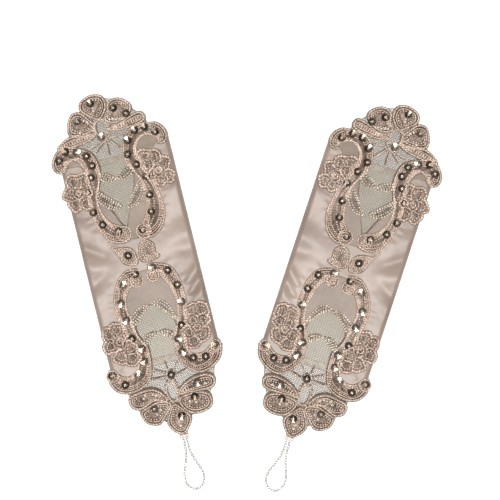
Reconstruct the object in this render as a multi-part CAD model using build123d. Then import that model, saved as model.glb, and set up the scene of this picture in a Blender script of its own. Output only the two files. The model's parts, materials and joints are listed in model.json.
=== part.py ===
"""A pair of fingerless bridal gloves: blush satin sleeves with corded lace at both ends, lying flat.

Each glove is modelled in its own frame: X across the hand, +Y towards the elbow, Z up from the surface
it lies on, with its origin at half length. The right glove is the left one mirrored. Millimetres.
"""

from build123d import *
import math
import os

# The sleeve.
WIDTH = 84.0  # flat width across the satin
THICKNESS = 7.2  # height of the empty sleeve lying on a table
FABRIC = 0.6
SIDE_RADIUS = THICKNESS / 2
BACK_ARM_EDGE = 84.0  # straight hems of the palm-side panel
BACK_HAND_EDGE = -76.0
HEM_DEPTH = 6.0
HEM_THICKNESS = 0.5
SEAM_DEPTH = 4.0  # overlocked allowance standing into the sleeve
SEAM_THICKNESS = 0.8
SEAM_GAP = 0.1

# The lace, in layers above the satin.
NET = 0.25
LACE = 1.0
LACE_BASE = THICKNESS + NET
LACE_TOP = LACE_BASE + LACE
BUD_HEIGHT = 1.1  # a rose's raised heart above the lace
BUD_RADIUS = 4.0

# The lace beyond the satin drapes down to the table in two arcs at each end.
DROP = 6.4
ARM_DRAPE = (98.0, 133.0)
HAND_DRAPE = (-88.0, -131.0)
DRAPE_END = 6.0  # flat run past each drape

# Sequins, beads and the finger loop.
SEQUIN_RADIUS = 3.0
SEQUIN_HOLE = 0.6
SEQUIN_SHEET = 0.2
SEQUIN_DISH = 0.7  # how far the rim stands above the middle
SEED_RADIUS = 0.85
SEED_RISE = 0.95  # height of a seed bead's centre over its sequin's foot
PETAL_BEAD_RADIUS = 0.8
SPRAY_RADIUS = 0.6
LAY_GAP = 0.05  # small trim stands this far off what it is sewn to
ELASTIC_RADIUS = 0.4
LOOP_BEAD_RADIUS = 1.1
LOOP_BEAD_HOLE = 0.55
LOOP_BEAD_PITCH = 2.3
HINGE_Y = -133.6  # the thread bar that the finger loop swings on
HINGE_Z = LOOP_BEAD_RADIUS
BAR_RADIUS = 0.35
BAR_LENGTH = 7.0
KNOT_RADIUS = 1.05
KNOT_CLEARANCE = 0.06
KNOT_WIDTH = 1.6
TACK_SIZE = (6.0, 1.2, 1.3)  # bar tack that closes the lace's point
TACK_Y = -131.4
TACK_Z = 0.9
PATCH_SIZE = (6.0, 5.0, 0.5)  # satin patch behind the point, under the net

# How the two gloves lie: tilt about +Z and the right one's origin from the left one's.
LEFT_TILT = 13.8
RIGHT_TILT = -18.2
RIGHT_FROM_LEFT = (151.5, -5.0)

# Outlines, in each glove's own frame.
SATIN_FRONT = {
    "arm_left": [(-46, 79), (-40, 92), (-30, 92), (-20, 88), (-17, 79), (-18, 68), (-20, 58), (-12, 44)],
    "arm_notch": (-5, 28),
    "arm_right": [(2, 44), (8, 58), (10, 68), (10, 80), (12, 91), (20, 97), (30, 97), (40, 94), (46, 91)],
    "hand_right": [(46, -72), (38, -79), (28, -84), (18, -80), (14, -68), (14, -56), (13, -44), (6, -30)],
    "hand_notch": (-4, -17),
    "hand_left": [(-10, -30), (-15, -44), (-15, -58), (-13, -70), (-18, -82), (-28, -87), (-38, -87), (-46, -78)],
}
ARM_NET = [
    (-7, 131.5), (2, 127.5), (11, 124.5), (18, 121), (21, 114), (27.5, 108), (29, 101.5), (36, 99.5),
    (40, 92), (30, 84), (22, 68), (22, 50), (21, 32), (10, 21), (-6, 21), (-20, 29), (-24, 44), (-24, 62),
    (-26, 80), (-38, 83), (-44, 88), (-38, 99), (-30, 105), (-29, 113), (-26, 119.5), (-18, 122), (-15, 129),
]
HAND_NET = [
    (-2, -5), (12, -6), (20, -16), (22, -34), (18, -52), (16, -64), (24, -78), (38, -80), (34, -88),
    (31, -98), (26, -106), (24, -115), (10, -118), (6, -124), (-0.5, -130.3), (-7, -124), (-12, -117.5),
    (-22, -117), (-27, -108), (-31, -97), (-34, -89), (-38, -84), (-24, -82), (-15, -66), (-19, -50),
    (-22, -34), (-20, -16), (-12, -7),
]
ARM_ROSES = [
    [(-43.5, 66), (-40, 75), (-31, 77), (-25, 72), (-25, 63), (-27, 54), (-34, 50), (-41, 54)],
    [(17.5, 77), (21, 81.5), (29, 80), (36, 73), (38.5, 64), (36, 57), (29, 55), (24, 60), (22, 70)],
]
HAND_ROSES = [
    [(-28, -40), (-35, -41), (-41.5, -44), (-41, -55), (-36, -64), (-29, -69), (-22, -70.5), (-19, -64),
     (-24, -55), (-26, -47)],
    [(25, -44), (29, -39), (35, -39.5), (39, -47), (37.5, -58), (31, -67), (24, -69.5), (20, -63),
     (22, -56), (26, -51)],
]
ROSE_BUDS = {"arm": [(-33, 67), (29.5, 67)], "hand": [(-29, -57), (29, -55)]}
# Each scroll is a band along a line, with round curls at its ends: (line, width, curls).
ARM_SCROLLS = [
    ([(-40.5, 89.5), (-34, 93.5), (-26.5, 92), (-20, 87), (-17.5, 79.5), (-20, 71), (-24, 61), (-24, 47),
      (-20, 36), (-11, 26.5)], 7.0, [((-42, 86), 5.5), ((-7, 25), 5.0)]),
    ([(33.5, 95), (26.5, 98), (18.5, 96.5), (12, 90.5), (10.5, 82), (14.5, 73), (18, 63), (20.5, 50),
      (20.5, 37), (13, 25.5)], 7.0, [((36, 91), 5.5), ((8, 24.5), 5.0)]),
]
HAND_SCROLLS = [
    ([(-8, -6.5), (-17, -11), (-22, -23), (-22.5, -37), (-20, -51), (-15.5, -61), (-14.5, -70), (-20, -80),
      (-31, -85.5), (-40, -80)], 7.0, [((-6.5, -11), 5.0), ((-40.5, -78), 4.5)]),
    ([(8, -5), (17.5, -9), (21.5, -21), (22, -34), (18.5, -50), (14, -60), (14.5, -70), (21, -78),
      (30, -81), (38, -75)], 7.0, [((6.5, -10), 4.5), ((38.5, -72), 4.0)]),
]
ARM_PETALS = [
    [(-9, 103), (-20, 103), (-29, 104), (-38, 100), (-39.5, 97), (-32, 97), (-24, 97.5), (-16, 99)],
    [(-9.5, 108), (-14, 115.5), (-18.5, 120.5), (-24.5, 120.5), (-28.5, 114), (-29, 107), (-24, 104.5), (-14, 105)],
    [(-5.5, 113), (-13, 118), (-17, 123), (-15.5, 128.5), (-8, 131.5), (-1, 130), (1.5, 125.5), (0.5, 119)],
    [(-0.5, 111), (2.5, 116), (4, 123), (11, 125), (17.5, 121), (19.5, 115.5), (14, 109.5), (6, 107.5)],
    [(0.5, 104), (10, 106), (19, 109.5), (25.5, 110.5), (28, 106.5), (25, 103.2), (15, 101.8), (7, 101.5)],
]
HAND_PETALS = [
    [(-6, -103.5), (-9, -96.5), (-16, -92.5), (-25, -93), (-32, -95), (-32, -101.5), (-26, -104.5), (-15, -101)],
    [(-4, -106.5), (-12, -103), (-20, -105), (-26.5, -108), (-24, -116), (-16, -119), (-10, -114)],
    [(-1.5, -107.5), (-6, -113), (-9, -120), (-6, -126.5), (-0.8, -130), (4, -127), (8, -120), (4, -113)],
    [(4, -104), (11, -102.5), (20, -103), (26, -107), (25, -114.5), (17, -117.5), (8.5, -115.5), (4, -109)],
    [(4.5, -100.5), (8, -95.5), (17, -91.5), (27, -91), (32, -95), (29.5, -100.5), (18, -101), (10, -100.5)],
]
# Leaves: (root, tip, width).
ARM_LEAVES = [
    ((-14, 71), (-4.5, 66), 4.0), ((9.5, 72), (-1.5, 67), 4.5),
    ((-19, 57), (-5, 45.5), 5.5), ((14, 57), (0.5, 44.5), 7.0),
]
HAND_LEAVES = [
    ((-18, -41), (-2.5, -31), 5.0), ((15, -44), (1.5, -30.5), 5.0),
    ((-11.5, -57), (-2, -53.3), 2.6), ((10.5, -58), (1.5, -53.3), 3.0),
]
WAIST_MOTIFS = [
    [(-3, 1.5), (-2.8, 8), (-5.5, 13), (-11, 15), (-16.5, 15), (-14.5, 9.5), (-12, 4), (-7.5, 1.5)],
    [(1, 3), (0.8, 9), (3, 15), (8, 16.5), (12, 12.5), (12, 6.5), (14, 3.5), (7, 1.2)],
]
SEQUINS = {
    "arm": [
        (-41, 89.5), (-35, 94.8), (-27.3, 92.3), (-20.5, 88), (-18.2, 80), (-21, 71.5), (-26, 61), (-25.5, 46),
        (-21, 35.5), (-10.5, 28), (33.3, 93.5), (26.5, 99), (18.8, 98.2), (12, 92), (9.5, 82), (14.3, 73.2),
        (19, 63), (18.3, 49), (16.5, 36.5), (7, 25), (-9, 126), (-21.5, 115), (7, 118.5), (15.3, 112.2),
        (-6.5, 99),
    ],
    "hand": [
        (-8, 8.7), (-6.3, -6), (-16.8, -12), (-21.5, -24.5), (-20.5, -37.5), (-20, -52), (-14.3, -61),
        (-15, -70.5), (-22, -79.5), (-33, -84.3), (-40.8, -75.5), (7.5, -4), (18, -8.8), (22.3, -21),
        (22.7, -34), (18.3, -51), (13.2, -60), (14, -70), (21, -76.5), (30.2, -77.8), (39, -70.5),
        (-22, -97.5), (-16.5, -107), (19.5, -95), (15, -105), (2, -117), (2, -85),
    ],
}
PETAL_BEADS = [
    (-16.5, 114), (-14, 112.4), (-21, 105.7), (-8, 122), (-8, 119.8), (2.5, 110.6), (5, 110.2), (7.5, 109.2),
    (10, 109.3), (12.1, 108.8), (-15, -96.2), (-12.6, -97.4), (-15.5, -111.5), (-12, -108.8), (25, -97),
    (15, -109.4), (10.5, -107.5), (-1, -121), (-0.5, -124),
]
SPRAYS = {
    "arm": [((-6, 95), (-13.5, 88.5)), ((-8.2, 95.3), (-17, 92.6)), ((-4, 93.5), (-4, 85)),
            ((-1, 95.5), (5.8, 87.3)), ((0.5, 97.2), (9, 96.2))],
    "hand": [((-0.5, -81.5), (-1, -75)), ((-2.5, -83.5), (-10, -79.5)), ((-2.5, -86.5), (-14, -85.5)),
             ((4.5, -82.5), (8, -78)), ((5, -86.5), (14, -84))],
}
LOOP_ROUTE_HALF = [(1.4, HINGE_Y - KNOT_RADIUS), (1.3, -141), (2.0, -147.5), (4.6, -154.5), (7.4, -161.3),
                   (7.2, -168.3), (2.9, -173.2)]


def closed_spline(points):
    return make_face(Spline(*points, periodic=True))


def leaf(root, tip, width):
    """A pointed leaf between two arcs."""
    a, b = Vector(*root), Vector(*tip)
    across = (b - a).normalized().rotate(Axis.Z, 90) * (width / 2)
    middle = (a + b) / 2
    return make_face([ThreePointArc(a, middle + across, b), ThreePointArc(b, middle - across, a)])


def scroll(line, width, curls):
    """A band along a line, swelling into a round curl at each end."""
    band = trace(Spline(*line), width)
    for centre, radius in curls:
        band += Pos(*centre) * Circle(radius)
    return band


def drape_radius(span):
    """Radius of the two equal arcs that drop DROP over the span."""
    angle = 2 * math.atan2(DROP, span)
    return span / (2 * math.sin(angle))


def drape_at(y):
    """How far the lace lies below its flat height at y, and its slope as rise over run."""
    for start, end in (ARM_DRAPE, HAND_DRAPE):
        span = abs(end - start)
        sign = 1 if end > start else -1
        past = min(max((y - start) * sign, 0.0), span)
        if past > 0:
            radius = drape_radius(span)
            near = min(past, span - past)
            dip = radius - math.sqrt(radius**2 - near**2)
            drop = dip if past <= span / 2 else DROP - dip
            return drop, -sign * near / math.sqrt(radius**2 - near**2)
    return 0.0, 0.0


def drape_edge(z):
    """The lace's long profile at height z, in the YZ plane, from the hand end to the arm end."""
    points = [(HAND_DRAPE[1] - DRAPE_END, z - DROP), (HAND_DRAPE[1], z - DROP)]
    hand_middle = sum(HAND_DRAPE) / 2
    arm_middle = sum(ARM_DRAPE) / 2
    stations = [HAND_DRAPE[1], hand_middle, HAND_DRAPE[0], ARM_DRAPE[0], arm_middle, ARM_DRAPE[1]]
    edges = [Line(*[(0, *p) for p in points])]
    for first, last in zip(stations, stations[1:]):
        start = (0, first, z - drape_at(first)[0])
        end = (0, last, z - drape_at(last)[0])
        if first == HAND_DRAPE[0]:
            edges.append(Line(start, end))
        else:
            half = (first + last) / 2
            edges.append(ThreePointArc(start, (0, half, z - drape_at(half)[0]), end))
    last = (0, ARM_DRAPE[1], z - DROP)
    edges.append(Line(last, (0, ARM_DRAPE[1] + DRAPE_END, z - DROP)))
    return edges


def drape_layer(low, high):
    """The space between two heights of the draped lace, as wide as the glove."""
    bottom, top = drape_edge(low), drape_edge(high)
    ends = [Line(bottom[0] @ 0, top[0] @ 0), Line(bottom[-1] @ 1, top[-1] @ 1)]
    return extrude(make_face(bottom + top + ends), amount=WIDTH, both=True, dir=(1, 0, 0))


def laid(faces, low, high):
    """Flat faces laid on the draped lace, filling it from one height to another."""
    solids = []
    for face in faces:
        block = Pos(0, 0, -1) * extrude(face, amount=LACE_TOP + BUD_HEIGHT + 2, dir=(0, 0, 1))
        solids += (block & drape_layer(low, high)).solids()
    return solids


def cut_faces(shapes, holes):
    """Every shape less every hole, as single faces."""
    left = []
    for shape in shapes:
        for hole in holes:
            shape = shape - hole
        left += shape.faces()
    return left


def on_lace(point, height):
    """A location on the draped lace, standing on its slope."""
    drop, slope = drape_at(point[1])
    return Pos(point[0], point[1], height - drop) * Rot(math.degrees(math.atan(slope)), 0, 0)


def sleeve_tube():
    section = SlotOverall(WIDTH, THICKNESS) - SlotOverall(WIDTH - 2 * FABRIC, THICKNESS - 2 * FABRIC)
    return Pos(0, 0, SIDE_RADIUS) * extrude(Plane.XZ * section, amount=150, both=True)


def satin_front():
    s = SATIN_FRONT
    outline = make_face([
        Spline(*s["arm_left"], s["arm_notch"]),
        Spline(s["arm_notch"], *s["arm_right"]),
        Line(s["arm_right"][-1], s["hand_right"][0]),
        Spline(*s["hand_right"], s["hand_notch"]),
        Spline(s["hand_notch"], *s["hand_left"]),
        Line(s["hand_left"][-1], s["arm_left"][0]),
    ])
    upper = Pos(0, 0, SIDE_RADIUS) * extrude(outline, amount=SIDE_RADIUS + 1)
    return (sleeve_tube() & upper).solids()


def satin_back():
    length = BACK_ARM_EDGE - BACK_HAND_EDGE
    middle = (BACK_ARM_EDGE + BACK_HAND_EDGE) / 2
    lower = Pos(0, middle, SIDE_RADIUS / 2) * Box(WIDTH + 2, length, SIDE_RADIUS)
    return (sleeve_tube() & lower).solids()


def side_seams():
    length = BACK_ARM_EDGE - BACK_HAND_EDGE - 8
    middle = (BACK_ARM_EDGE + BACK_HAND_EDGE) / 2
    reach = WIDTH / 2 - FABRIC - SEAM_GAP - SEAM_DEPTH / 2
    return [Pos(side * reach, middle, SIDE_RADIUS) * Box(SEAM_DEPTH, length, SEAM_THICKNESS) for side in (-1, 1)]


def back_hem(edge, inward):
    across = WIDTH - 2 * SIDE_RADIUS
    height = FABRIC + HEM_THICKNESS / 2
    return [Pos(0, edge + inward * HEM_DEPTH / 2, height) * Box(across, HEM_DEPTH, HEM_THICKNESS)]


def rose_buds(end):
    return [
        Pos(x, y, LACE_TOP + BUD_HEIGHT / 2 + LAY_GAP) * Cylinder(BUD_RADIUS, BUD_HEIGHT) for x, y in ROSE_BUDS[end]
    ]


def sequin():
    """A cupped sequin with a sewing hole, foot at the origin."""
    rim = SEQUIN_RADIUS
    side = make_face(Polyline(
        (SEQUIN_HOLE, 0), (rim, SEQUIN_DISH), (rim, SEQUIN_DISH + SEQUIN_SHEET), (SEQUIN_HOLE, SEQUIN_SHEET), close=True
    ))
    return revolve(Plane.XZ * side, Axis.Z)


def sequins(end):
    return [on_lace(p, LACE_TOP + LAY_GAP) * sequin() for p in SEQUINS[end]]


def sequin_beads(end):
    return [
        on_lace(p, LACE_TOP + LAY_GAP) * Pos(0, 0, SEED_RISE) * Sphere(SEED_RADIUS) for p in SEQUINS[end]
    ]


def petal_beads():
    return [
        on_lace(p, LACE_TOP) * Pos(0, 0, PETAL_BEAD_RADIUS + LAY_GAP) * Sphere(PETAL_BEAD_RADIUS) for p in PETAL_BEADS
    ]


def spray(end):
    """Coiled thread rays that meet at a sequin, lying on the net."""
    rays = []
    for start, tip in SPRAYS[end]:
        a, b = Vector(*start), Vector(*tip)
        ray = Plane(origin=(0, 0, 0), z_dir=b - a).location * Cylinder(SPRAY_RADIUS, (b - a).length)
        middle = (a + b) / 2
        drop = drape_at(middle.Y)[0]
        rays.append(Pos(middle.X, middle.Y, LACE_TOP + SPRAY_RADIUS + LAY_GAP - drop) * ray)
    return rays


def loop_line():
    """The finger loop's line: out along one strand, round the finger and back, with the largest arcs that fit."""
    left = [(-x, y) for x, y in LOOP_ROUTE_HALF]
    right = LOOP_ROUTE_HALF[::-1]
    route = [Vector(x, y, HINGE_Z) for x, y in left + right]
    runs = [(b - a).length for a, b in zip(route, route[1:])]
    radii = []
    for i in range(1, len(route) - 1):
        turn = (route[i] - route[i - 1]).get_angle(route[i + 1] - route[i])
        radii.append(0.45 * min(runs[i - 1], runs[i]) / math.tan(math.radians(turn) / 2))
    print("finger loop radii", [round(r, 1) for r in radii])
    return FilletPolyline(*route, radius=radii)


def loop_elastic(line):
    section = Plane(origin=line @ 0, z_dir=line % 0) * Circle(ELASTIC_RADIUS)
    tube = sweep(section, path=line)
    expected = math.pi * ELASTIC_RADIUS**2 * line.length
    print("elastic length", round(line.length, 1), "volume ratio", round(tube.volume / expected, 3))
    return tube.solids()


def loop_beads(line):
    bead = Sphere(LOOP_BEAD_RADIUS) - Cylinder(LOOP_BEAD_HOLE, 3 * LOOP_BEAD_RADIUS)
    count = int(line.length / LOOP_BEAD_PITCH)
    pitch = line.length / count
    places = [(i + 0.5) * pitch / line.length for i in range(count)]
    print("loop beads", count)
    return [Plane(origin=line @ t, z_dir=line % t).location * bead for t in places]


def loop_knots():
    ring = Cylinder(KNOT_RADIUS, KNOT_WIDTH) - Cylinder(BAR_RADIUS + KNOT_CLEARANCE, 2 * KNOT_WIDTH)
    x = LOOP_ROUTE_HALF[0][0]
    return [Pos(side * x, HINGE_Y, HINGE_Z) * Rot(0, 90, 0) * ring for side in (-1, 1)]


def loop_anchor():
    """The bar tack at the lace's point with the thread bar that the loop swings on."""
    bar = Pos(0, HINGE_Y, HINGE_Z) * Rot(0, 90, 0) * Cylinder(BAR_RADIUS, BAR_LENGTH)
    patch_y = TACK_Y + (PATCH_SIZE[1] - TACK_SIZE[1]) / 2
    patch_z = TACK_Z + (PATCH_SIZE[2] - TACK_SIZE[2]) / 2
    anchor = Pos(0, TACK_Y, TACK_Z) * Box(*TACK_SIZE) + bar
    anchor += Pos(0, patch_y, patch_z) * Box(*PATCH_SIZE)
    leg_length = TACK_Y - HINGE_Y
    for side in (-1, 1):
        x = side * (BAR_LENGTH / 2 - BAR_RADIUS)
        anchor += Pos(x, (TACK_Y + HINGE_Y) / 2, HINGE_Z) * Box(2 * BAR_RADIUS, leg_length, 2 * BAR_RADIUS)
    return anchor.solids()


def glove():
    """Every piece of the left glove, as lists of solids by node."""
    pieces = {
        "satin_front": satin_front(),
        "satin_back": satin_back(),
        "side_seams": side_seams(),
        "arm_hem": back_hem(BACK_ARM_EDGE, -1),
        "hand_hem": back_hem(BACK_HAND_EDGE, 1),
        "arm_net": laid([closed_spline(ARM_NET)], THICKNESS, LACE_BASE),
        "hand_net": laid([closed_spline(HAND_NET)], THICKNESS, LACE_BASE),
        "petal_beads": petal_beads(),
        "loop_anchor": loop_anchor(),
        "loop_knots": loop_knots(),
    }
    ends = {
        "arm": (ARM_ROSES, ARM_SCROLLS, ARM_LEAVES, ARM_PETALS),
        "hand": (HAND_ROSES, HAND_SCROLLS, HAND_LEAVES, HAND_PETALS),
    }
    for end, (rose_lines, scroll_lines, leaf_lines, petal_lines) in ends.items():
        roses = [closed_spline(p) for p in rose_lines]
        scrolls = cut_faces([scroll(*s) for s in scroll_lines], roses)
        leaves = cut_faces([leaf(*p) for p in leaf_lines], roses + scrolls)
        petals = cut_faces([closed_spline(p) for p in petal_lines], scrolls)
        pieces[f"{end}_roses"] = laid(roses, LACE_BASE, LACE_TOP) + rose_buds(end)
        pieces[f"{end}_scrolls"] = laid(scrolls, LACE_BASE, LACE_TOP)
        pieces[f"{end}_leaves"] = laid(leaves, LACE_BASE, LACE_TOP)
        pieces[f"{end}_petals"] = laid(petals, LACE_BASE, LACE_TOP)
        pieces[f"{end}_sequins"] = sequins(end)
        pieces[f"{end}_sequin_beads"] = sequin_beads(end)
        pieces[f"{end}_spray"] = spray(end)
    pieces["waist_motif"] = laid([closed_spline(p) for p in WAIST_MOTIFS], LACE_BASE, LACE_TOP)
    line = loop_line()
    pieces["loop_elastic"] = loop_elastic(line)
    pieces["loop_beads"] = loop_beads(line)
    return pieces


def main():
    pieces = glove()
    nodes = {}
    for name, solids in pieces.items():
        piece = Compound(children=solids)
        nodes[f"left_{name}"] = Rot(0, 0, LEFT_TILT) * piece
        flipped = mirror(piece, about=Plane.YZ)
        nodes[f"right_{name}"] = Pos(*RIGHT_FROM_LEFT, 0) * Rot(0, 0, RIGHT_TILT) * flipped
    body = [n for name, n in nodes.items() if not name.endswith(("loop_elastic", "loop_beads", "loop_knots"))]
    boxes = [n.bounding_box() for n in body]
    middle_x = (min(b.min.X for b in boxes) + max(b.max.X for b in boxes)) / 2
    middle_y = (min(b.min.Y for b in boxes) + max(b.max.Y for b in boxes)) / 2
    shift = Pos(-middle_x, -middle_y, 0)
    print("left glove's origin", round(-middle_x, 4), round(-middle_y, 4))
    os.makedirs("parts", exist_ok=True)
    for name, node in nodes.items():
        export_step(shift * node, f"parts/{name}.step")


main()
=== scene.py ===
"""A pair of fingerless bridal gloves: blush satin sleeves with corded lace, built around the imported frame.

Shapes are drawn in each glove's own frame, in millimetres: X across the hand, +Y towards the elbow, and
height above the satin. The right glove is the left one mirrored.
"""

import json
import math

import bpy
import numpy as np
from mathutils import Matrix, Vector
from mathutils.geometry import delaunay_2d_cdt


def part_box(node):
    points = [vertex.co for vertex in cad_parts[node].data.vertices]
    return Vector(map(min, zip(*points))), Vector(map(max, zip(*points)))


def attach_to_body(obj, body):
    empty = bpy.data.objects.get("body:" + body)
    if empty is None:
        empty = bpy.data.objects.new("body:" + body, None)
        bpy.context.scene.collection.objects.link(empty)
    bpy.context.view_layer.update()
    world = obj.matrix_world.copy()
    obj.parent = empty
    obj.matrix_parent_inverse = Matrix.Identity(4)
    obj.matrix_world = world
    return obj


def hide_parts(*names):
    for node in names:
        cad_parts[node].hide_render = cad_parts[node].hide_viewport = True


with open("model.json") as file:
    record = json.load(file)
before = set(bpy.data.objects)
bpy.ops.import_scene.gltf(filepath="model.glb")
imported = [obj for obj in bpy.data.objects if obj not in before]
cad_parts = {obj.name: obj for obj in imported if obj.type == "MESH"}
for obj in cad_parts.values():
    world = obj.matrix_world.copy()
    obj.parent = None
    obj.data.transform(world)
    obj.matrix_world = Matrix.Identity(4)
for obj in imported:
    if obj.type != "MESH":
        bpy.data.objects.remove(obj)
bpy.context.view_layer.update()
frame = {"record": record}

MM = 0.001
SEED = 11

# The sleeve, in millimetres.
TOP = (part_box("left_satin_front")[1].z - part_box("left_satin_back")[0].z) / MM
SIDE = TOP / 2
WIDTH = 84.0
FLAT_HALF = WIDTH / 2 - SIDE
SHEET_HALF = 44.05
FABRIC = 0.6
BACK_ARM_EDGE = 84.0
BACK_HAND_EDGE = -76.0
CLOTH_STEP = 1.1
FRONT_EDGE_STEP = 1.35
BACK_EDGE_STEP = 1.3
# The satin's relief: its fade at the seams, the puckers along the scrolls and how far the panel settles.
SEAM_FADE = 4.0
PUCKER = 0.16
SETTLED = 0.05
# The share of a hollow that stays under the lace.
HOLLOW_KEPT = 0.35
# Panel edges nearer the middle than this are cut ones, which thin out.
CUT_HALF = 43.0

# The sheets' flat sizes, in metres.
FRONT_SIZE = (0.0881, 0.184)
BACK_SIZE = (0.0881, 0.160)

# Hems and seam allowances, inside the sleeve.
HEM_HALF = 38.2
HEM_GAP = 0.2
HEM_DEPTH = 5.8
HEM_ROW = 5.0
HEM_ROW_HALF = 37
HEM_STITCH = 1.5
HEM_STITCH_STEP = 2.4
SEAM_INNER = 37.5
SEAM_OUTER = 41.1
SEAM_STOP = 5.0
SEAM_THICK_HALF = 0.16
# The overlock's wrap and chain: places from the seam's inner edge, reach, height and threads.
OVERLOCK_PITCH = 1.7
WRAP_AT = 0.9
WRAP_REACH = 0.95
WRAP_RISE = 0.27
WRAP_THREAD = 0.11
CHAIN_AT = 1.85
CHAIN_THREAD = 0.13

# Heights above the satin.
NET_FOOT = 0.03
NET_TOP = 0.24
LACE = 0.3
SPRAY_FOOT = 1.25
PETAL_BEAD_HEIGHT = 2.0
SEQUIN_FOOT = 1.35
SEED_BEAD_RISE = 0.9

# Sequins and the beads on the lace. A sequin's radii are its hole's, its middle's and its rim's, and it
# rises by about CUP from SEQUIN_FLAT to its rim.
SEQUIN_RADII = (0.6, 1.7, 3.0)
SEQUIN_SHEET = 0.2
SEQUIN_FLAT = 0.55
CUP = 0.5
# How far dark sequins lean from flat, and bright ones from where they flash, in degrees.
DULL_LEAN = (1, 6)
BRIGHT_LEAN = (8, 13)
SEED_BEAD = 0.95
PETAL_BEAD = 0.8

# The drape of the lace beyond the satin.
DROP = 6.4
DRAPES = ((98.0, 133.0), (-88.0, -131.0))

# Threads.
CORD = 0.62
PITCH = 2.2
THIN_CORD = 0.5
THIN_PITCH = 1.8
STITCH = 0.36
STITCH_STEP = 0.86
KNOT = 0.58
KNOT_STEP = 1.75
# The dark cord round each motif, a painted shadow: its radius and its shade.
SHADOW_CORD = 0.38
SHADOW_TONE = 0.17
MOTIF_STEP = 0.35
# Rows along a scroll: the depth from its edge, and whether the row is of knots.
SCROLL_ROWS = ((2.45, False), (4.0, True), (5.6, False))
# A cord's two plies: their shades, the second painted darker as painted shade between the twists, and their
# size and lay as shares of its radius.
PLIES = (1.0, 0.42)
PLY = 0.54
LAY = 0.52
TURN_STEPS = 6
NET_PITCH = 1.35
NET_THREAD = 0.32
NET_END_THREAD = 0.355
NET_RIM = 0.34

# Outlines, in the glove's frame.
SATIN_FRONT = {
    "arm_left": [(-44.05, 78), (-40, 92), (-30, 92), (-20, 88), (-17, 79), (-18, 68), (-20, 58), (-12, 44)],
    "arm_notch": (-5, 28),
    "arm_right": [(2, 44), (8, 58), (10, 68), (10, 80), (12, 91), (20, 97), (30, 97), (40, 94), (44.05, 92)],
    "hand_right": [(44.05, -72), (38, -79), (28, -84), (18, -80), (14, -68), (14, -56), (13.5, -46),
                   (8.5, -36)],
    "hand_notch": (-0.5, -31),
    "hand_left": [(-9, -35.5), (-15, -44), (-15, -58), (-13, -70), (-18, -82), (-28, -87), (-38, -87),
                  (-44.05, -78)],
}
NETS = {
    "arm": [(-7, 131.5), (2, 127.5), (11, 124.5), (18, 121), (21, 114), (27.5, 108), (29, 101.5),
            (36, 99.5), (40, 92), (30, 84), (22, 68), (22, 50), (21, 32), (10, 21), (-6, 21), (-20, 29),
            (-24, 44), (-24, 62), (-26, 80), (-38, 83), (-44, 88), (-38, 99), (-30, 105), (-29, 113),
            (-26, 119.5), (-18, 122), (-15, 129)],
    "hand": [(-2, -5), (12, -6), (20, -16), (22, -34), (18, -52), (16, -64), (24, -78), (38, -80),
             (34, -88), (31, -98), (26, -106), (24, -115), (10, -118), (6, -124), (-0.5, -130), (-7, -124),
             (-12, -117.5), (-22, -117), (-27, -108), (-31, -97), (-34, -89), (-38, -84), (-24, -82),
             (-15, -66), (-19, -50), (-22, -34), (-20, -16), (-12, -7)],
}
# Each rose's lobes, from the lowest: centre and radius; then its heart.
ROSES = {
    "arm": [([(-36, 55.8, 5.7), (-29.3, 54.6, 4.7), (-38.2, 63, 5.4), (-28, 71, 4.9), (-34, 71, 5.5),
              (-26.8, 62.5, 4.1)],
             (-32.6, 62.5, 4.2)),
            ([(21, 77.6, 5.2), (35, 59.5, 4.5), (29.5, 58.3, 4.5), (33.2, 69.3, 5.3), (28.2, 75.2, 5.0),
              (21.8, 70.6, 4.5), (24.3, 62.5, 4.0)],
             (29.3, 65, 4.4))],
    "hand": [([(-35.3, -45.6, 5.4), (-29.6, -43.2, 5.1), (-36.6, -54, 5.2), (-30.5, -63.3, 5.2),
               (-22.8, -66, 5.4), (-23, -58.5, 5.0)],
              (-29, -52.5, 5.0)),
             ([(28, -42.6, 5.2), (35, -43.2, 5.4), (27.2, -49.3, 4.6), (34.8, -50.8, 4.4), (24, -63.6, 5.7),
               (32, -60.3, 5.3), (22.6, -57, 4.8)],
              (29, -55.5, 4.7))],
}
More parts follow.
